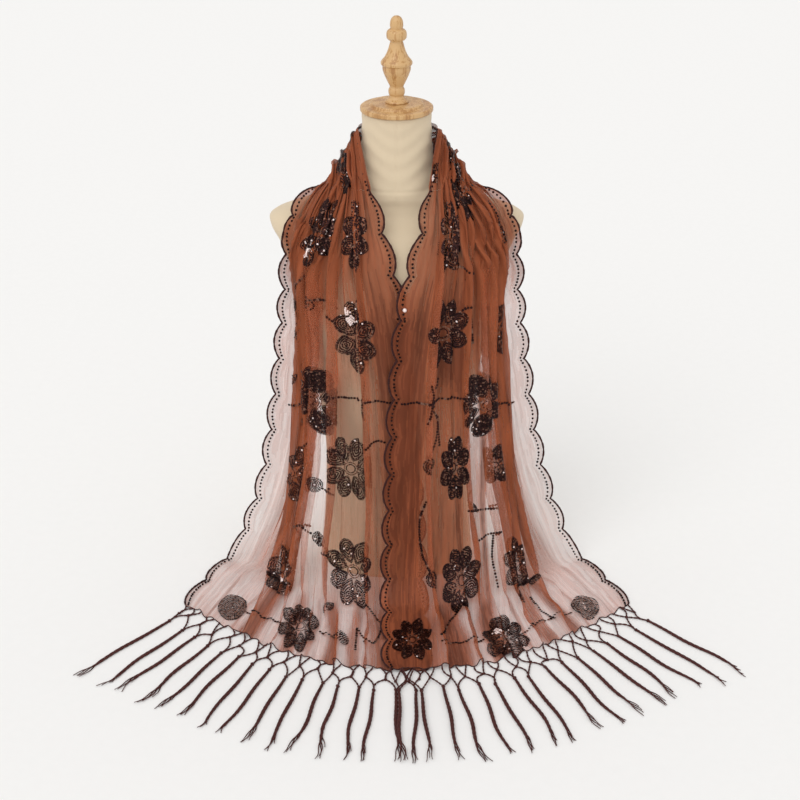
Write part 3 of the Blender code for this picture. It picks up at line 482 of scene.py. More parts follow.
def clear_of_form(points, out):
    """Move what would lie inside the form outwards until it rests on it."""
    low = np.zeros(len(points))
    high = np.where(form_share(points) < 1.0, MOST_OUT, 0.0)
    for _ in range(OUT_HALVINGS):
        middle = (low + high) / 2.0
        inside = form_share(points + middle[:, None] * out) < 1.0
        low = np.where(inside, middle, low)
        high = np.where(inside, high, middle)
    return points + high[:, None] * out


def base_points(along, share):
    """Points of the smooth sheet under the pleats: share runs from 0 at the inner edge to 1 at the outer."""
    share = share[:, None]
    inner = np.array([drape(name, along) for name in ("in_x", "in_y", "in_z")])
    outer = np.array([drape(name, along) for name in ("out_x", "out_y", "out_z")])
    quarter = share * math.pi / 2.0
    lying = float(smooth(HANG_ENDS, HEM_STARTS, along))
    power = WRAP_FULLNESS + (LYING_FULLNESS - WRAP_FULLNESS) * lying
    fullness = math.pi * np.clip(share, 0.0, 1.0) ** power
    bow = (1.0 + np.cos(fullness)) / 2.0 * (1.0 - lying) + np.cos(fullness / 2.0) * lying
    level, upright = 1.0 - np.cos(quarter), np.sin(quarter)
    straight = inner + (outer - inner) * share
    flared = inner + (outer - inner) * np.hstack((level, level, upright))
    wrapped = straight.copy()
    wrapped[:, 1:2] = outer[1] + (inner[1] - outer[1]) * bow
    flare, wrap = drape("flare", along), drape("wrap", along)
    points = straight + flare * (flared - straight) + wrap * (wrapped - straight)
    points[:, 2] += WALL / 2.0
    return points


def unit(vectors):
    """Vectors of length 1."""
    return vectors / np.maximum(np.linalg.norm(vectors, axis=-1), 1e-12)[..., None]


def base_frame(along, share):
    """Points of the smooth sheet, resting on the form, with the directions across it and out of it."""
    step = 0.001
    across = base_points(along, share + step) - base_points(along, share - step)
    down = base_points(along + step, share) - base_points(along - step, share)
    out = unit(np.cross(down, across))
    return clear_of_form(base_points(along, share), out), unit(across), out


def fold_sizes(side, along):
    """Feet and depths of the folds: even at the neck and the hem, from the table where the ends hang."""
    right = float(smooth(-SEAM_ALONG, SEAM_ALONG, side * along))
    hang_wide = FOLD_BY["left_wide"] * (1.0 - right) + FOLD_BY["right_wide"] * right
    hang_deep = FOLD_BY["left_deep"] * (1.0 - right) + FOLD_BY["right_deep"] * right
    order = np.arange(FOLD_COUNT)
    border = (order == 0) | (order == FOLD_COUNT - 1)
    hanging = float(smooth(NECK_ENDS, HANG_STARTS, along))
    lying = float(smooth(HANG_ENDS, HEM_STARTS, along))
    border_wide = HEM_BORDER_WIDE if along > HANG_ENDS else NECK_BORDER_WIDE
    even_wide = np.where(border, border_wide, (1.0 - 2.0 * border_wide) / (FOLD_COUNT - 2))
    neck_deep = FOLD_BY["neck_deep"]
    hem_deep = np.where(border, HEM_BORDER_DEEP, HEM_EVEN_DEEP + HEM_UNEVEN_DEEP * (order % 2))
    wide = even_wide + (hang_wide / hang_wide.sum() - even_wide) * hanging * (1.0 - lying)
    deep = (neck_deep + (hang_deep - neck_deep) * hanging) * (1.0 - lying) + hem_deep * lying
    uneven = 1.0 + 0.10 * np.sin(along * (11.0 + order) + 1.7 * order + side) * hanging
    return np.concatenate(([0.0], np.cumsum(wide))), deep * uneven


def fold_height(feet, deep, share):
    """Height of the pleats over the smooth sheet, in whole folds."""
    inside = np.clip(share, 0.0, 1.0)
    fold = np.clip(np.searchsorted(feet, inside, side="right") - 1, 0, FOLD_COUNT - 1)
    place = (inside - feet[fold]) / (feet[fold + 1] - feet[fold])
    return deep[fold] * np.sin(np.pi * place) ** 2


def lean_at(along):
    """How far the pleats lean outwards."""
    lean = LEAN_NECK + (LEAN_HANG - LEAN_NECK) * smooth(NECK_ENDS, HANG_STARTS, along)
    return float(lean + (LEAN_FLOOR - lean) * smooth(LEAN_EASES, LEAN_SETTLES, along))


def lift(side, along, share):
    """Room that the right end leaves for the left one under it."""
    lying = smooth(HANG_ENDS, HEM_STARTS, along)
    height = LIFT_HANGING + (LIFT_LYING - LIFT_HANGING) * lying
    fade_from = LIFT_SHARE + (LIFT_SHARE_HEM - LIFT_SHARE) * lying
    fade_to = LIFT_FADE + (LIFT_FADE_HEM - LIFT_FADE) * lying
    over = smooth(fade_to, fade_from, share) * smooth(LIFT_STARTS, LIFT_FULL, along)
    return over * height if side == RIGHT else over * 0.0


def pleat_scale(side, along, share, points, lean_out):
    """Depth of a whole fold that makes the row as long as the cloth is wide, or the most that fits."""
    inside = (share >= 0.0) & (share <= 1.0)
    feet, deep = fold_sizes(side, along)
    height = fold_height(feet, deep, share[inside])[:, None]
    low, high = 0.0, MOST_DEEP
    for _ in range(DEEP_HALVINGS):
        middle = (low + high) / 2.0
        pleated = points[inside] + height * middle * lean_out[inside]
        length = np.linalg.norm(np.diff(pleated, axis=0), axis=1).sum()
        low, high = (middle, high) if length < CLOTH_WIDTH else (low, middle)
    most = PLEAT_NECK + PLEAT_GROWS * float(smooth(NECK_ENDS, HANG_STARTS, along))
    return min((low + high) / 2.0, most)


def cloth_row(side, along, wide):
    """Points of the pleated net on one row, at some distances across the cloth."""
    share = np.linspace(-ROW_MARGIN, 1.0 + ROW_MARGIN, ROW_POINTS)
    points, across, out = base_frame(along, share)
    feet, deep = fold_sizes(side, along)
    lean_out = out + lean_at(along) * across
    scale = pleat_scale(side, along, share, points, lean_out)
    height = fold_height(feet, deep, share) * scale
    points = points + lift(side, along, share)[:, None] * out + height[:, None] * lean_out
    points[:, 0] = side * points[:, 0] + drape("drift", along)
    run = run_along(points)
    start, end = np.interp((0.0, 1.0), share, run)
    inside = (run - start) * CLOTH_WIDTH / (end - start)
    place = np.where(run < start, run - start, np.where(run > end, CLOTH_WIDTH + run - end, inside))
    return np.stack([np.interp(wide, place, points[:, axis]) for axis in range(3)], axis=1)


def waves(place, seed, length, uneven, count=3):
    """Sum of uneven waves across or along the cloth, about -1 to 1."""
    chance = np.random.default_rng(seed)
    total = np.zeros_like(place)
    for _ in range(count):
        pitch = length * (1.0 + uneven * chance.uniform(-1.0, 1.0))
        total += np.sin(math.tau * place / pitch + chance.uniform(0.0, math.tau)) / count**0.5
    return total


def grid_normals(grid):
    """Directions out of the cloth at each point of a grid."""
    down = np.gradient(grid, axis=0)
    across = np.gradient(grid, axis=1)
    return unit(np.cross(down, across))


GRID_ALONG = np.arange(round(HALF_LENGTH / ROW_STEP) + 1) * ROW_STEP
GRID_COLUMNS = round((CLOTH_WIDTH + 2.0 * GRID_MARGIN) / COLUMN_STEP) + 1
GRID_WIDE = np.linspace(-GRID_MARGIN, CLOTH_WIDTH + GRID_MARGIN, GRID_COLUMNS)


def softened(grid, half):
    """A grid's points evened out across the cloth over some columns each way."""
    padded = np.pad(grid, ((0, 0), (half, half), (0, 0)), mode="edge")
    total = np.cumsum(np.pad(padded, ((0, 0), (1, 0), (0, 0))), axis=1)
    return (total[:, 2 * half + 1:] - total[:, :-2 * half - 1]) / (2 * half + 1)


def cloth_grid(side):
    """Points and normals of one half of the net, with its gathers and small creases, and the way it faces."""
    grid = np.stack([cloth_row(side, along, GRID_WIDE) for along in GRID_ALONG])
    normals = grid_normals(grid) * side
    along, wide = GRID_ALONG[:, None], GRID_WIDE[None, :]
    places = {
        "lengthwise": wide + CREASE_SWAY * side * np.sin(along * CREASE_TURNS),
        "crosswise": along + CROSSWISE_SLANT * wide,
        "lying": along * LYING_SLANT + side * wide,
    }
    height = 0.0
    for way, seed, by_side, pitch, uneven, none_at, full_at, high in CREASES:
        crease = waves(places[way], seed + by_side * side, pitch, uneven)
        height = height + crease * smooth(none_at, full_at, along) * high
    height = height * smooth(0.0, CREASE_MARGIN, wide) * smooth(0.0, CREASE_MARGIN, CLOTH_WIDTH - wide)
    grid = grid + normals * height[..., None]
    hem_waves = waves(wide + 0.4 * side, 27 + side, HEM_WAVE_PITCH, HEM_WAVE_UNEVEN)
    grid[..., 1] -= hem_waves * HEM_WAVE * smooth(HEM_WAVE_STARTS, HALF_LENGTH, along)
    grid[..., 2] = np.maximum(grid[..., 2], FLOOR_ROOM)
    return grid, grid_normals(grid) * side, grid_normals(softened(grid, FACING_COLUMNS)) * side


GRIDS = {side: cloth_grid(side) for side in (LEFT, RIGHT)}


def blend_grid(values, along, wide):
    """Values of a grid between its points."""
    row = np.clip(np.asarray(along) / ROW_STEP, 0.0, len(GRID_ALONG) - 1.001)
    step = GRID_WIDE[1] - GRID_WIDE[0]
    column = np.clip((np.asarray(wide) - GRID_WIDE[0]) / step, 0.0, len(GRID_WIDE) - 1.001)
    top, left = row.astype(int), column.astype(int)
    down, right = (row - top)[..., None], (column - left)[..., None]
    upper = values[top, left] * (1.0 - right) + values[top, left + 1] * right
    lower = values[top + 1, left] * (1.0 - right) + values[top + 1, left + 1] * right
    return upper * (1.0 - down) + lower * down


def on_cloth(side, along, wide):
    """Points on the net and the directions out of it."""
    points, normals, _ = GRIDS[side]
    return blend_grid(points, along, wide), unit(blend_grid(normals, along, wide))


def scallop(along):
    """How far the edge stands out beyond the cloth's straight width."""
    return SCALLOP_DEPTH * np.abs(np.sin(math.pi * along / SCALLOP_PITCH)) ** SCALLOP_FULLNESS


def tucked(along):
    """How far the inner edge is turned in under the cloth by the neck, 0 to 1."""
    return smooth(TUCK_ENDS, TUCK_STARTS, along)


def mesh_of(name, points, faces, materials):
    """A mesh with its materials."""
    data = bpy.data.meshes.new(name)
    data.from_pydata(points, [], faces)
    for material in materials:
        data.materials.append(material)
    return data


def shown(name, data):
    """An object in the scene."""
    made = bpy.data.objects.new(name, data)
    bpy.context.scene.collection.objects.link(made)
    return made


class Heap:
    """Many small shapes gathered into one mesh."""

    def __init__(self):
        self.points, self.faces, self.slots, self.count = [], [], [], 0

    def add(self, points, faces, slots=0):
        """Add some points, and faces that count from the first of them."""
        self.points.append(np.asarray(points))
        self.faces += [[corner + self.count for corner in face] for face in faces]
        self.slots += list(slots) if hasattr(slots, "__len__") else [slots] * len(faces)
        self.count += len(points)

    def piece(self, name, materials, slot, replaces=()):
        """Make the piece from all its shapes."""
        data = mesh_of(name, np.vstack(self.points).tolist(), self.faces, materials)
        data.polygons.foreach_set("material_index", self.slots)
        data.shade_smooth()
        return dressed(name, data, replaces)


def dressed(name, data, replaces=()):
    """A piece in the scene, on the model's one body, with the model's parts that it stands for hidden."""
    piece = shown(name, data)
    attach(piece, "root")
    if replaces:
        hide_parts(*replaces)
    return piece


def grid_faces(rows, columns, closed=False):
    """Quads over a grid of points."""
    index = np.arange(rows * columns).reshape(rows, columns)
    if closed:
        index = np.hstack((index, index[:, :1]))
    corners = (index[:-1, :-1], index[:-1, 1:], index[1:, 1:], index[1:, :-1])
    return np.stack([corner.ravel() for corner in corners], axis=1)


def turns(count):
    """Even angles round a circle."""
    return np.linspace(0.0, math.tau, count, endpoint=False)


def ring_faces(rings, sides):
    """Faces of a stack of rings, closed at both ends."""
    last = (rings - 1) * sides
    ends = [list(range(sides - 1, -1, -1)), list(range(last, last + sides))]
    return grid_faces(rings, sides, closed=True).tolist() + ends


def tube(points, radius, ups, sides=6):
    """Points and faces of a round tube along a line; ups points off the line, at each point or all along."""
    points = np.asarray(points, dtype=float)
    along = unit(np.gradient(points, axis=0))
    across = unit(np.cross(along, ups))
    rise = np.cross(across, along)
    radius = np.broadcast_to(radius, len(points))[:, None, None]
    angles = turns(sides)
    ring = across[:, None] * np.cos(angles)[None, :, None] + rise[:, None] * np.sin(angles)[None, :, None]
    return (points[:, None] + ring * radius).reshape(-1, 3), ring_faces(len(points), sides)


def spread(points, step):
    """A line's points at even steps; columns after the third ride along."""
    points = np.asarray(points, dtype=float)
    run = run_along(points[:, :3])
    count = max(2, round(run[-1] / step) + 1)
    at = np.linspace(0.0, run[-1], count)
    return np.stack([np.interp(at, run, points[:, axis]) for axis in range(points.shape[1])], axis=1)


# Materials
def node(tree, kind, **values):
    """A shader node with its inputs and settings."""
    made = tree.nodes.new(kind)
    for name, value in values.items():
        if name in made.inputs:
            made.inputs[name].default_value = value
        else:
            setattr(made, name, value)
    return made


class Finish:
    """A procedural material: colours from noise, and bump from threads or grain."""

    def __init__(self, name, roughness):
        self.material = bpy.data.materials.new(name)
        self.material.use_nodes = True
        self.tree = self.material.node_tree
        self.shader = self.tree.nodes["Principled BSDF"]
        self.shader.inputs["Roughness"].default_value = roughness
        self.place = node(self.tree, "ShaderNodeTexCoord").outputs["Object"]

    def link(self, start, end):
        """Join an output to an input."""
        self.tree.links.new(start, end)

    def use_uv(self):
        """Place the textures by the cloth's own length and width."""
        self.place = node(self.tree, "ShaderNodeTexCoord").outputs["UV"]

    def texture(self, kind, stretch=(1.0, 1.0, 1.0), turn=0.0, **values):
        """A number from a texture whose place is stretched and turned."""
        mapping = node(self.tree, "ShaderNodeMapping", Scale=stretch, Rotation=(0.0, 0.0, turn))
        made = node(self.tree, kind, **values)
        self.link(self.place, mapping.inputs["Vector"])
        self.link(mapping.outputs["Vector"], made.inputs["Vector"])
        return made.outputs["Fac"]

    def noise(self, scale, detail=3.0, stretch=(1.0, 1.0, 1.0)):
        """Noise at a scale in shapes per metre."""
        return self.texture("ShaderNodeTexNoise", stretch, Scale=scale, Detail=detail)

    def threads(self, pitch, turn=0.0):
        """Waves across one direction, at a pitch in metres."""
        return self.texture("ShaderNodeTexWave", turn=turn, Scale=math.tau / 20.0 / pitch, Distortion=0.4)

    def mixed(self, first, second, operation):
        """Two numbers blended by multiplying, adding or the like."""
        made = node(self.tree, "ShaderNodeMath", operation=operation)
        self.link(first, made.inputs[0])
        self.link(second, made.inputs[1])
        return made.outputs[0]

    def colour(self, factor, *stops):
        """Colour the surface by a number: stops are (place, colour)."""
        made = node(self.tree, "ShaderNodeValToRGB")
        ends = made.color_ramp.elements
        while len(ends) < len(stops):
            ends.new(0.5)
        for end, (place, colour) in zip(ends, stops):
            end.position = place
            end.color = (*colour, 1.0)
        self.link(factor, made.inputs["Fac"])
        self.link(made.outputs["Color"], self.shader.inputs["Base Color"])

    def rough(self, factor, low, high):
        """Let the roughness follow a number."""
        made = node(self.tree, "ShaderNodeMapRange", **{"To Min": low, "To Max": high})
        self.link(factor, made.inputs["Value"])
        self.link(made.outputs["Result"], self.shader.inputs["Roughness"])

    def bump(self, factor, strength, distance):
        """Raise the surface by a number; more than one adds up."""
        made = node(self.tree, "ShaderNodeBump", Strength=strength, Distance=distance)
        self.link(factor, made.inputs["Height"])
        if self.shader.inputs["Normal"].is_linked:
            self.link(self.shader.inputs["Normal"].links[0].from_socket, made.inputs["Normal"])
        self.link(made.outputs["Normal"], self.shader.inputs["Normal"])

    def set(self, **values):
        """Constants straight on the shader's sockets."""
        for name, value in values.items():
            self.shader.inputs[name.replace("_", " ")].default_value = value


def net_cover_and_shade_finish(level):
    """Sheer rust-brown net, closer at each level, and darker as painted shade of deep folds."""
    cover, *tone = NET_COVERS_AND_SHADES[level]
    made = Finish(f"net_cover_and_shade_{level}", 0.62)
    made.use_uv()
    # Lengthwise streaks of darker and lighter colour, partly painted shade and light of the net's fine
    # wrinkles
    streaks = made.noise(9.0, 4.0, (9.0, 1.0, 1.0))
    dark, light = (tuple(part * share for part in tone) for share in (0.78, 1.24))
    made.colour(streaks, (0.32, dark), (0.68, light))
    weave = made.mixed(made.threads(0.0013, 0.6), made.threads(0.0013, -0.6), "MULTIPLY")
    made.bump(weave, 0.35, 0.0004)
    made.bump(streaks, 0.25, 0.002)
    made.set(Alpha=cover, Sheen_Weight=0.05, Sheen_Roughness=0.4, Specular_IOR_Level=0.12)
    return made.material


def linen_finish():
    """Pale linen cover."""
    made = Finish("linen_cover", 0.88)
    upright = made.noise(520.0, 3.0, (1.0, 1.0, 0.14))
    level = made.noise(520.0, 3.0, (0.14, 0.14, 1.0))
    patches = made.noise(14.0, 3.0)
    both = made.mixed(made.mixed(upright, level, "ADD"), patches, "ADD")
    made.colour(both, (1.15, (0.690, 0.565, 0.400)), (1.85, (0.800, 0.675, 0.490)))
    weave = made.mixed(made.threads(0.0011), made.noise(900.0, 2.0, (0.3, 0.3, 1.0)), "ADD")
    made.bump(weave, 0.30, 0.0005)
    made.bump(patches, 0.20, 0.003)
    made.set(Sheen_Weight=0.2, Sheen_Roughness=0.5, Specular_IOR_Level=0.2)
    return made.material


def wood_finish():
    """Light turned wood with a thin wax coat."""
    made = Finish("turned_wood", 0.45)
    grain = made.noise(60.0, 6.0, (1.0, 1.0, 0.10))
    rings = made.noise(420.0, 3.0, (1.0, 1.0, 0.06))
    both = made.mixed(grain, rings, "ADD")
    made.colour(both, (0.78, (0.40, 0.19, 0.060)), (1.02, (0.54, 0.305, 0.115)), (1.25, (0.62, 0.385, 0.170)))
    made.bump(both, 0.18, 0.0006)
    made.rough(grain, 0.34, 0.55)
    made.set(Coat_Weight=0.15, Coat_Roughness=0.3)
    return made.material


def yarn_finish(name, dark, light):
    """Twisted dark yarn."""
    made = Finish(name, 0.72)
    fibres = made.noise(700.0, 3.0)
    made.colour(fibres, (0.35, dark), (0.70, light))
    made.bump(fibres, 0.5, 0.0005)
    made.set(Sheen_Weight=0.05, Sheen_Roughness=0.4, Specular_IOR_Level=0.15)
    return made.material


def sequin_finish(name, dark, light, roughness, metallic):
    """Small shiny discs, each a little different."""
    made = Finish(name, roughness)
    mottle = made.noise(330.0, 2.0)
    made.colour(mottle, (0.35, dark), (0.68, light))
    made.bump(made.noise(1500.0, 2.0), 0.25, 0.0003)
    made.set(Metallic=metallic, Specular_IOR_Level=0.3, Coat_Weight=0.05, Coat_Roughness=0.15)
    return made.material


def floor_finish():
    """Plain pale surface under the form."""
    made = Finish("pale_floor", 0.9)
    grain = made.noise(60.0, 4.0)
    made.colour(grain, (0.3, (0.885, 0.880, 0.872)), (0.7, (0.895, 0.890, 0.882)))
    made.bump(grain, 0.05, 0.001)
    made.set(Specular_IOR_Level=0.05)
    return made.material


NETS = [net_cover_and_shade_finish(level) for level in range(len(NET_COVERS_AND_SHADES))]
LINEN = linen_finish()
WOOD = wood_finish()
YARN = yarn_finish("fringe_yarn", (0.034, 0.010, 0.010), (0.125, 0.038, 0.032))
CORD = yarn_finish("border_cord", (0.022, 0.007, 0.007), (0.075, 0.022, 0.018))
SEQUINS = (
    sequin_finish("sequin_dark", (0.007, 0.003, 0.003), (0.044, 0.016, 0.015), 0.32, 0.90),
    sequin_finish("sequin_bronze", (0.085, 0.038, 0.026), (0.270, 0.140, 0.100), 0.34, 0.85),
    # Pale sequins painted as glints where sequins catch the light; the pale pin bead has this finish too
    sequin_finish("pale_bead_and_painted_glint", (0.820, 0.640, 0.600), (0.980, 0.860, 0.830), 0.30, 0.15),
)


def band(edges, value):
    """1 inside a zone and 0 outside: edges are where it starts, is whole, ends and is gone."""
    starts, whole, ends, gone = edges
    return smooth(starts, whole, value) * smooth(gone, ends, value)


def net_cover(side, along, wide):
    """Share of the light that the net stops at a place; a closer net is also given a darker colour as painted
    shade.
    """
    places, covers = np.array(COVER[side]).T
    level = np.interp(wide + 0.0025 * np.sin(along * 17.0 + side), places, covers)
    for change, across, down in SHADE_AND_LIGHT_ZONES:
        level = level + change * band(across, wide) * band(down, along)
    slits = 0.5 + 0.5 * np.tanh(3.0 * (waves(wide + 0.02 * side * along, 33 + side, SLIT_PITCH, 0.4) - 0.9))
    gathered = GATHERED_COVER - SLIT_COVER * slits * smooth(*SLITS_OPEN, along)
    level = level + (gathered - level) * smooth(*GATHERS_END, along)
    hem = HEM_COVER + HEM_RIM_COVER * smooth(RIM_STARTS, HALF_LENGTH, along)
    for place, half, close in HEM_FOLDS[side]:
        drift = 0.10 * (along - 1.0) * place + 0.003 * np.sin(along * 40.0 + place * 50.0)
        hem = hem + close * np.exp(-(((wide - place - drift) / half) ** 4))
    level = level + (hem - level) * smooth(*LIES_DOWN, along)
    return level + LINE_COVER * waves(wide + 0.004 * np.sin(along * 14.0), 31, LINE_PITCH, 0.5, 5)


def streaks_at(signed, wide):
    """Uneven streaks along the net's length, -1 to 1, one for each column."""
    columns = np.round(wide / COLUMN_STEP).astype(int) % STREAK_LINES
    chance = np.random.default_rng(5)
    values = chance.uniform(-1.0, 1.0, (STREAK_COUNT, STREAK_LINES))
    place = signed / STREAK_LONG + STREAK_COUNT / 2.0 - 2.0 + chance.uniform(0.0, 1.0, STREAK_LINES)[columns]
    block = place.astype(int)
    share = smooth(0.0, 1.0, place - block)
    return values[block, columns] * (1.0 - share) + values[block + 1, columns] * share


def net_shell(name, stations, replaces):
    """One stretch of the net as a thin shell with scalloped edges, from rows of (side, along)."""
    columns = np.linspace(0.0, CLOTH_WIDTH, round(CLOTH_WIDTH / COLUMN_STEP) + 1)
    rows = []
    for side, along in stations:
        beyond = scallop(along)
        inner = beyond * (1.0 - tucked(along)) * smooth(EDGE_STRETCH, 0.0, columns)
        outer = beyond * smooth(EDGE_STRETCH, 0.0, CLOTH_WIDTH - columns)
        rows.append(on_cloth(side, np.full(len(columns), along), columns - inner + outer)[0])
    faces = grid_faces(len(rows), len(columns))
    data = mesh_of(name, np.vstack(rows).tolist(), faces.tolist(), NETS)
    layer = data.uv_layers.new(name="cloth")
    signed = np.array([side * along for side, along in stations])
    places = np.stack(np.meshgrid(columns, signed), axis=-1).reshape(-1, 2)
    middles = places[faces].mean(axis=1)
    covers = [net_cover(side, np.abs(middles[:, 1]), middles[:, 0]) for side in (LEFT, RIGHT)]
    cover = np.where(middles[:, 1] < 0.0, *covers)
    cover = cover + STREAK_COVER * streaks_at(middles[:, 1], middles[:, 0])
    steps = [finish[0] for finish in NET_COVERS_AND_SHADES]
    level = np.round(np.interp(cover, steps, np.arange(len(steps)))).astype(int)
    data.polygons.foreach_set("material_index", level)
    layer.uv.foreach_set("vector", places[faces.ravel()].ravel())
    data.shade_smooth()
    piece = dressed(name, data, replaces)


def stole():
    """The net in the model's three stretches."""
    rows = [along for along in GRID_ALONG if along > SEAM_ALONG + 1e-6]
    for side, word in ((LEFT, "left"), (RIGHT, "right")):
        stations = [(side, SEAM_ALONG + SEAM_GAP / 2.0)] + [(side, along) for along in rows]
        net_shell(f"net_cover_and_shade_{word}", stations, [f"stole_{word}_front"])
    near = [along for along in GRID_ALONG if along < SEAM_ALONG - 1e-6] + [SEAM_ALONG - SEAM_GAP / 2.0]
    stations = [(LEFT, along) for along in reversed(near)] + [(RIGHT, along) for along in near[1:]]
    net_shell("net_cover_and_shade_nape", stations, ["stole_nape"])


def form_cover():
    """The linen cover of the form, with its seams."""
    heights = np.concatenate((np.linspace(*COVER_LOW), np.linspace(*COVER_HIGH)))
    angles = turns(COVER_SIDES)
    cos, sin = np.cos(angles), np.sin(angles)
    rings = []
    for height in heights:
        half_wide, front, back, square = form_ring(height)
        x = half_wide * np.sign(cos) * np.abs(cos) ** (2.0 / square)
        y = np.where(sin > 0.0, back, front) * np.sign(sin) * np.abs(sin) ** (2.0 / square)
        groove = SEAM_DEEP * np.exp(-((x / SEAM_WIDE) ** 2))
        groove = groove + NECK_SEAM_DEEP * np.exp(-(((height - NECK_SEAM) / NECK_SEAM_WIDE) ** 2))
        wrinkle = WRINKLE * np.sin(height * 260.0 + 3.0 * np.sin(angles * 3.0))
        wrinkle = wrinkle * smooth(WRINKLES_START, WRINKLES_FULL, height)
        size = 1.0 - (groove + wrinkle) / np.maximum(np.hypot(x, y), 0.02)
        rings.append(np.stack((x * size, y * size, np.full(COVER_SIDES, height)), axis=1))
    heap = Heap()
    heap.add(np.vstack(rings), ring_faces(len(rings), COVER_SIDES))
    heap.piece("form_cover", [LINEN], "linen", ["form_body"])


def turned_piece(name, profile, foot, replaces):
    """A piece turned on a lathe, rounded between the points of its profile."""
    profile = np.array(profile)
    run = run_along(profile)
    at = np.sort(np.concatenate((run, np.linspace(0.0, run[-1], 5 * len(run)))))
    at = at[np.concatenate(([True], np.diff(at) > 1e-5))]
    radius, height = (level_curve(run, profile[:, axis], at) for axis in (0, 1))
    angles = turns(TURNED_SIDES)
    radius = np.maximum(radius, TURNED_LEAST)
    x, y = radius[:, None] * np.cos(angles), radius[:, None] * np.sin(angles)
    points = np.stack((x, y, np.broadcast_to(foot + height[:, None], x.shape)), axis=-1).reshape(-1, 3)
    heap = Heap()
    heap.add(points, ring_faces(len(radius), TURNED_SIDES))
    piece = heap.piece(name, [WOOD], "wood", replaces)
    piece.data.set_sharp_from_angle(angle=math.radians(50))


def above_floor(points, radius):
    """Points of a line, raised where a cord of that radius would touch the floor."""
    points[:, 2] = np.maximum(points[:, 2], radius + FLOOR_GAP)
    return points


def edge_line(side, outer_edge, inset, follow, step):
    """Points and normals of a line along a scalloped edge, some way inside it."""
    along = np.arange(0.0, HALF_LENGTH + 1e-6, step)
    under = tucked(along) * (0.0 if outer_edge else 1.0)
    from_edge = inset - follow * scallop(along) * (1.0 - under) + TUCK_WIDE * under
    wide = CLOTH_WIDTH - from_edge if outer_edge else from_edge
    points, normals = on_cloth(side, along, wide)
    return points - normals * (TUCK_UNDER * under)[:, None], normals


def borders():
    """The cord on each scalloped edge and the beads inside it."""
    cords, beads = Heap(), Heap()
    for side in (LEFT, RIGHT):
        hem = np.linspace(0.0, CLOTH_WIDTH, HEM_CORD_POINTS)
        points, normals = on_cloth(side, np.full(HEM_CORD_POINTS, HALF_LENGTH), hem)
        cords.add(*tube(above_floor(points, HEM_CORD + FLOOR_GAP), HEM_CORD, normals, 5))
        for outer_edge in (False, True):
            points, normals = edge_line(side, outer_edge, 0.0, 1.0, CORD_STEP)
            radius = EDGE_CORD + EDGE_CORD_UNEVEN * waves(np.arange(len(points)) * CORD_STEP, 41, 0.011, 0.5)
            cords.add(*tube(above_floor(points + normals * CORD_LIFT, radius), radius, normals))
            points, normals = edge_line(side, outer_edge, BEADS_INSET, BEADS_FOLLOW, 0.0010)
            line = spread(np.hstack((points, normals)), BEAD_STEP)
            start = 0
            while start < len(line) - 5:
                middle, ups = line[start:start + 4, :3], line[start:start + 4, 3:]
                radius = np.array(BEAD_PROFILE) * CHANCE.uniform(0.85, 1.15)
                beads.add(*tube(above_floor(middle + ups * BEAD_LIFT, radius), radius, ups))
                start += CHANCE.integers(5, 8)
    cords.piece("border_cords", [CORD], "yarn")
    beads.piece("border_beads", [SEQUINS[0]], "yarn")


def pin():
    """The pale bead of the pin that holds the two ends together at the centre front."""
    point, normal = on_cloth(RIGHT, PIN_ALONG, PIN_WIDE)
    heap = Heap()
    turn = np.linspace(0.04, math.pi - 0.04, 13)
    line = point + normal * (PIN_LIFT - PIN_BEAD * np.cos(turn))[:, None]
    heap.add(*tube(line, PIN_BEAD * np.sin(turn), (0.1, 0.2, 1.0), 16))
    heap.piece("pin_bead", [SEQUINS[2]], "yarn")


def outline(half, reach):
    """A closed line with the same half width on both sides of a middle line."""
    return np.vstack((np.stack((half, reach), axis=1), np.stack((-half, reach), axis=1)[::-1]))


def turned(points, angle):
    """Places on the cloth turned round the middle of their motif."""
    cos, sin = math.cos(angle), math.sin(angle)
    return points @ np.array(((cos, sin), (-sin, cos)))


def even_row(points, pitch):
    """A closed row's points at even steps."""
    closed = np.vstack((points, points[:1]))
    return spread(closed, pitch)[:-1]


def petal_rows(size, wider):
    """Rows of sequins on one petal that points along the cloth: places and radius."""
    place = np.linspace(0.0, 1.0, 24)
    half = PETAL_HALF * np.sin(math.pi * place**1.25) ** 0.62
    edge = outline(half, PETAL_FOOT + (1.0 - PETAL_FOOT) * place)
    middle = np.array((0.0, PETAL_MIDDLE))
    rows = []
    for share, pitch, radius in PETAL_ROWS:
        for within in (0.0, SECOND_ROW) if wider >= WIDE_PETAL else (0.0,):
            row = (middle + (edge - middle) * (share - within)) * size
            rows.append((even_row(row, pitch / max(1.0, wider * 0.8)), radius))
    return rows


def ring_row(reach, radius):
    """Places of sequins that touch each other on a circle."""
    count = max(3, round(math.tau * reach / (1.95 * radius)))
    angle = turns(count)
    return np.stack((np.cos(angle), np.sin(angle)), axis=1) * reach


def flower_rows(size, wider):
    """A flower of petals round two open rings."""
    rows = []
    for petal in range(PETALS):
        turn = math.tau * (petal + 0.5) / PETALS + CHANCE.uniform(-0.05, 0.05)
        for points, radius in petal_rows(FLOWER_TALL * size * CHANCE.uniform(0.95, 1.03), wider):
            rows.append((turned(points, turn) * (FLOWER_WIDE / FLOWER_TALL, 1.0), radius, 0))
    for tone, reach in enumerate(RING_REACHES):
        points = ring_row(reach * FLOWER_TALL * size, RING_RADIUS)
        rows.append((points * (FLOWER_WIDE / FLOWER_TALL * RING_WIDER, 1.0), RING_RADIUS, tone))
    return rows


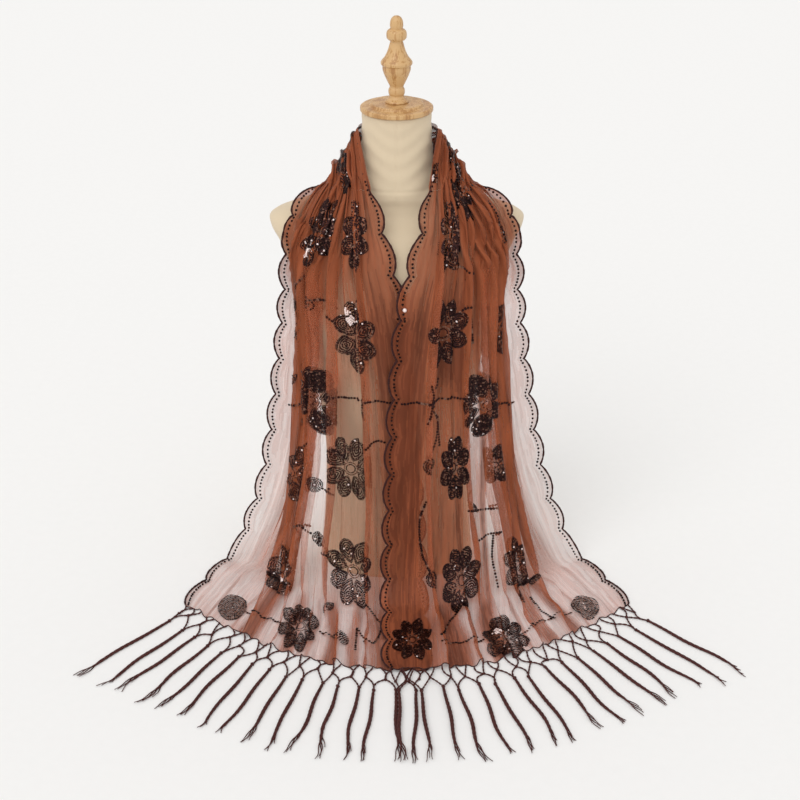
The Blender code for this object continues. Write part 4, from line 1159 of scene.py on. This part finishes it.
def leaf_rows(size):
    """A pointed leaf with its midrib, leaning to one side."""
    place = np.linspace(-1.0, 1.0, 20)
    edge = np.delete(outline(LEAF_HALF * (1.0 - place**2), place), (20, 39), axis=0)
    lean = CHANCE.uniform(-0.7, 0.7)
    rib = np.stack((np.zeros(20), place * 0.75), axis=1)
    outer, inner, middle = LEAF_PITCHES
    rows = (
        (even_row(edge * size / 2.0, outer), 0),
        (even_row(edge * size / 3.4, inner), 0),
        (spread(rib * size / 3.6, middle), 1),
    )
    return [(turned(points, lean), LEAF_RADIUS, tone) for points, tone in rows]


def disc_rows(size):
    """Rings round one another, each second one of the other tone on a large disc."""
    rings = [ring_row(reach, DISC_RADIUS) for reach in np.arange(size, 0.0012, -DISC_STEP)]
    return [(ring, DISC_RADIUS, index % 2 if size > LARGE_DISC else 0) for index, ring in enumerate(rings)]


def motif_rows(kind, size, wider):
    """Rows of sequins of one motif: places across and along the cloth, radius and tone."""
    if kind == "flower":
        return flower_rows(size, wider)
    return leaf_rows(size) if kind == "leaf" else disc_rows(size)


def sequins(heap, side, along, wide, radius, tones):
    """Small cupped discs on the cloth, each a little tilted."""
    count = len(along)
    points, normals = on_cloth(side, along, wide)
    facing = blend_grid(GRIDS[side][2], along, wide)
    normals = unit(normals * 0.5 + facing + CHANCE.uniform(-SEQUIN_TILT, SEQUIN_TILT, (count, 3)))
    first = unit(np.cross(normals, (0.3, 0.2, 1.0)))
    second = np.cross(normals, first)
    angle = turns(SEQUIN_SIDES)[None, :] + CHANCE.uniform(0.0, 1.0, (count, 1))
    radius = radius * CHANCE.uniform(0.90, 1.10, count)
    centre = points + normals * CHANCE.uniform(*SEQUIN_LIFT, count)[:, None]
    rim = first[:, None] * np.cos(angle)[..., None] + second[:, None] * np.sin(angle)[..., None]
    rim = centre[:, None] + rim * radius[:, None, None]
    cup = centre + normals * (SEQUIN_CUP * radius)[:, None]
    made = np.concatenate((cup[:, None], rim), axis=1)
    made[..., 2] = np.maximum(made[..., 2], SEQUIN_LOWEST)
    step = np.arange(SEQUIN_SIDES)
    fan = np.stack((np.zeros_like(step), step + 1, (step + 1) % SEQUIN_SIDES + 1), axis=1)
    faces = (fan[None] + np.arange(count)[:, None, None] * (SEQUIN_SIDES + 1)).reshape(-1, 3)
    heap.add(made.reshape(-1, 3), faces.tolist(), np.repeat(tones, SEQUIN_SIDES).tolist())


def embroidery(name, side):
    """The sequinned flowers, discs, leaves and chains of one half of the stole."""
    heap = Heap()
    motifs = [(kind, *row) for kind, rows in MOTIFS[side].items() for row in rows]
    for kind, middle_along, middle_wide, size, wider, painted_glint in motifs:
        # Each motif gets a random lit side, where more sequins are painted pale as glints
        painted_lit_turn = CHANCE.uniform(0.0, math.tau)
        for offsets, radius, tone in motif_rows(kind, size, wider):
            tones = np.where(CHANCE.uniform(0.0, 1.0, len(offsets)) < OTHER_TONE, 1 - tone, tone)
            near = np.cos(np.arctan2(offsets[:, 0], offsets[:, 1]) - painted_lit_turn) > PAINTED_LIT_PART
            share = PAINTED_GLINT_ANYWHERE + painted_glint * np.where(near, PAINTED_GLINT_LIT, PAINTED_GLINT_BESIDE)
            pale = CHANCE.uniform(0.0, 1.0, len(offsets)) < share
            wide = np.clip(middle_wide + offsets[:, 0] * wider, MOTIF_INSET, CLOTH_WIDTH - MOTIF_INSET)
            along = np.clip(middle_along - offsets[:, 1], 0.0, HALF_LENGTH - MOTIF_HEM_INSET)
            # Patches of sequins painted pale as glints
            for painted_glint_along, painted_glint_wide, reach in PAINTED_GLINTS[side]:
                away = np.hypot(along - painted_glint_along, wide - painted_glint_wide)
                pale |= away < reach * CHANCE.uniform(*PAINTED_GLINT_UNEVEN, len(along))
            sequins(heap, side, along, wide, radius, np.where(pale, 2, tones))
    for chain in CHAINS[side]:
        along, wide = soft_line(np.array(chain), CHAIN_PITCH).T
        tones = np.where(CHANCE.uniform(0.0, 1.0, len(along)) < CHAIN_TONE, 1, 0)
        sequins(heap, side, along, wide, CHAIN_RADIUS, tones)
    heap.piece(name, SEQUINS, "yarn")


def soft_line(points, step):
    """A line's points at even steps, on a soft curve through its corners."""
    run = run_along(points)
    at = np.linspace(0.0, run[-1], 12 * len(points))
    curve = np.stack([level_curve(run, points[:, axis], at) for axis in range(points.shape[1])], axis=1)
    return spread(curve, step)


def hem_root(side, share):
    """Point on the hem and the direction in which its fringe lies."""
    point, _ = on_cloth(side, HALF_LENGTH, share * CLOTH_WIDTH)
    turn = FRINGE_TURN * max(0.0, side * point[0]) / DRAPE[-1][4]
    return point, np.array([side * math.sin(turn), -math.cos(turn), 0.0])


def strand_height(side, x):
    """Height of a strand's middle: the right fringe passes over the left one at the centre front."""
    over = smooth(CROSSING_FADE, CROSSING_ENDS, x) if side == RIGHT else 0.0
    return STRAND_REST + CROSSING_LIFT * over


def lying_line(side, start, end, bow):
    """A loose strand on the floor between two points, bowed to one side."""
    count = max(4, round(np.linalg.norm(end - start) / STRAND_STEP))
    share = np.linspace(0.0, 1.0, count)[:, None]
    left = np.cross(UP, unit(end - start))
    points = start + (end - start) * share + left * bow * np.sin(math.pi * share)
    ground = strand_height(side, points[:, 0])
    ends = np.minimum(share[:, 0], 1.0 - share[:, 0]) * 6.0
    points[:, 2] = ground + np.maximum(points[:, 2] - ground, 0.0) * np.clip(1.0 - ends, 0.0, 1.0)
    return points


def lying_knot(side, share, away, uneven):
    """Place of a knot at some distance from the hem, and the direction in which its fringe lies."""
    root, way = hem_root(side, share)
    knot = root + way * (away + CHANCE.uniform(-uneven, uneven))
    knot[2] = strand_height(side, knot[0])
    return knot, way


def fringe(name, side, replaces):
    """The knotted fringe of one end, from twisted yarns."""
    heap = Heap()
    upper, lower, ways = [], [], []
    for index in range(TASSELS + 1):
        share = min(max(index, END_KNOT), TASSELS - END_KNOT) / TASSELS
        knot, _ = lying_knot(side, share, KNOT_ROW_1, KNOT_UNEVEN_1)
        upper.append(knot)
        for sign in (-1.0, 1.0):
            start, _ = hem_root(side, np.clip(share + sign * ROOT_SPLAY / TASSELS, 0.004, 0.996))
            bow = sign * UPPER_BOW + CHANCE.uniform(-UPPER_BOW_UNEVEN, UPPER_BOW_UNEVEN)
            add_strand(heap, lying_line(side, start, knot, bow))
    for index in range(TASSELS):
        knot, way = lying_knot(side, (index + 0.5) / TASSELS, KNOT_ROW_2, KNOT_UNEVEN_2)
        lower.append(knot)
        ways.append(way)
        for parent, sign in ((upper[index], 1.0), (upper[index + 1], -1.0)):
            bow = sign * side * LOWER_BOW + CHANCE.uniform(-LOWER_BOW_UNEVEN, LOWER_BOW_UNEVEN)
            add_strand(heap, lying_line(side, parent, knot, bow))
    for knot in upper:
        add_knot(heap, knot, UPPER_KNOT)
    for index, (knot, way) in enumerate(zip(lower, ways)):
        add_knot(heap, knot, LOWER_KNOT)
        add_tassel(heap, side, knot, way, index)
    heap.piece(name, [YARN], "yarn", replaces)


def add_strand(heap, points):
    """One strand of two yarns wound round each other."""
    along = unit(np.gradient(points, axis=0))
    left = unit(np.cross(UP, along))
    turn = np.cumsum(np.full(len(points), STRAND_TURN))
    for phase in (0.0, math.pi):
        shift = left * np.cos(turn + phase)[:, None] + UP * YARNS_FLAT * np.sin(turn + phase)[:, None]
        heap.add(*tube(points + shift * STRAND_RADIUS * YARNS_APART, STRAND_RADIUS * YARNS_THICK, UP, 5))


def add_knot(heap, centre, size):
    """A lumpy knot: three short loops round one another."""
    for turn in CHANCE.uniform(0.0, math.pi) + np.array((0.0, 1.05, 2.1)):
        angle = np.linspace(0.0, math.tau, 11)
        first = np.array([math.cos(turn), math.sin(turn), 0.35])
        second = np.array([-math.sin(turn) * 0.6, math.cos(turn) * 0.6, 0.55])
        ring = centre + size * LOOP_REACH * (np.cos(angle)[:, None] * first + np.sin(angle)[:, None] * second)
        thick = size * LOOP_THICK
        heap.add(*tube(above_floor(ring, thick), thick, (0.3, 0.2, 1.0), 5))


def add_tassel(heap, side, knot, way, index):
    """The loose yarns under a knot, twisted together and parting at their ends."""
    left = np.cross(UP, way)
    sideways = float(smooth(SIDE_TAIL_STARTS, 1.0, (index + 0.5) / TASSELS))
    long = TAIL_LONG * (1.0 + SIDE_TAIL_GROWS * sideways) * (1.0 + CHANCE.uniform(-0.05, 0.0))
    sway = TAIL_SWAY * math.sin(2.4 * index + side)
    wave = CHANCE.uniform(0.0, math.tau)
    bend = CHANCE.uniform(*TAIL_BEND)
    parts = CHANCE.uniform(*TAIL_PARTS)
    for yarn in range(TAIL_YARNS):
        reach = long * (1.0 - 0.05 * CHANCE.uniform(0.0, 1.0) * yarn)
        run = np.arange(0.0, reach, TAIL_STEP)
        share = run / reach
        loose = np.clip((share - parts) / (1.0 - parts), 0.0, 1.0) ** 1.3
        turn = run / YARN_TURN + yarn * math.tau / TAIL_YARNS
        off = (yarn - (TAIL_YARNS - 1) / 2.0) * CHANCE.uniform(0.6, 1.3)
        swing = sway * run + bend * np.sin(run / TAIL_WAVE + wave) * share + off * loose * TAIL_SPREAD
        belly = 0.85 + 0.35 * np.sin(math.pi * np.clip(share * 1.15, 0.0, 1.0))
        points = knot + way * run[:, None] + left * swing[:, None]
        points += left * (np.cos(turn) * YARN_OFF * belly)[:, None]
        ground = strand_height(side, points[:, 0])
        radius = YARN_RADIUS * (1.0 - 0.50 * loose) * belly
        points[:, 2] = np.maximum(ground + TAIL_ROLL * np.sin(turn) * belly, radius + FLOOR_GAP)
        heap.add(*tube(points, radius, UP, 5))


def stage():
    """Pale floor, soft light and the camera."""
    corners = [(x * FLOOR_REACH, y * FLOOR_REACH, 0.0) for x, y in ((-1, -1), (1, -1), (1, 1), (-1, 1))]
    floor = shown("floor", mesh_of("floor", corners, [(0, 1, 2, 3)], [floor_finish()]))
    world = bpy.data.worlds.new("studio")
    bpy.context.scene.world = world
    world.use_nodes = True
    sky = world.node_tree.nodes["Background"].inputs
    sky["Color"].default_value = SKY_COLOUR
    sky["Strength"].default_value = SKY_STRENGTH
    light = bpy.data.lights.new("key", "SUN")
    light.energy = KEY_STRENGTH
    light.angle = KEY_ANGLE
    shown("key", light).rotation_euler = KEY_TURN
    bpy.context.scene.view_settings.view_transform = "Standard"
    optics = bpy.data.cameras.new("camera")
    optics.lens = CAMERA_LENS
    optics.sensor_width = CAMERA_SENSOR
    optics.clip_end = CAMERA_REACH
    camera = shown("camera", optics)
    camera.location = CAMERA_PLACE
    camera.rotation_euler = CAMERA_TURN
    bpy.context.scene.camera = camera


stage()
form_cover()
turned_piece("turned_cap", CAP_PROFILE, CAP_FOOT, ["neck_cap"])
turned_piece("turned_finial", FINIAL_PROFILE, FINIAL_FOOT, ["finial"])
stole()
borders()
pin()
embroidery("embroidery_left", LEFT)
embroidery("embroidery_right", RIGHT)
fringe("yarns_left", LEFT, ["fringe_left"])
fringe("yarns_right", RIGHT, ["fringe_right"])
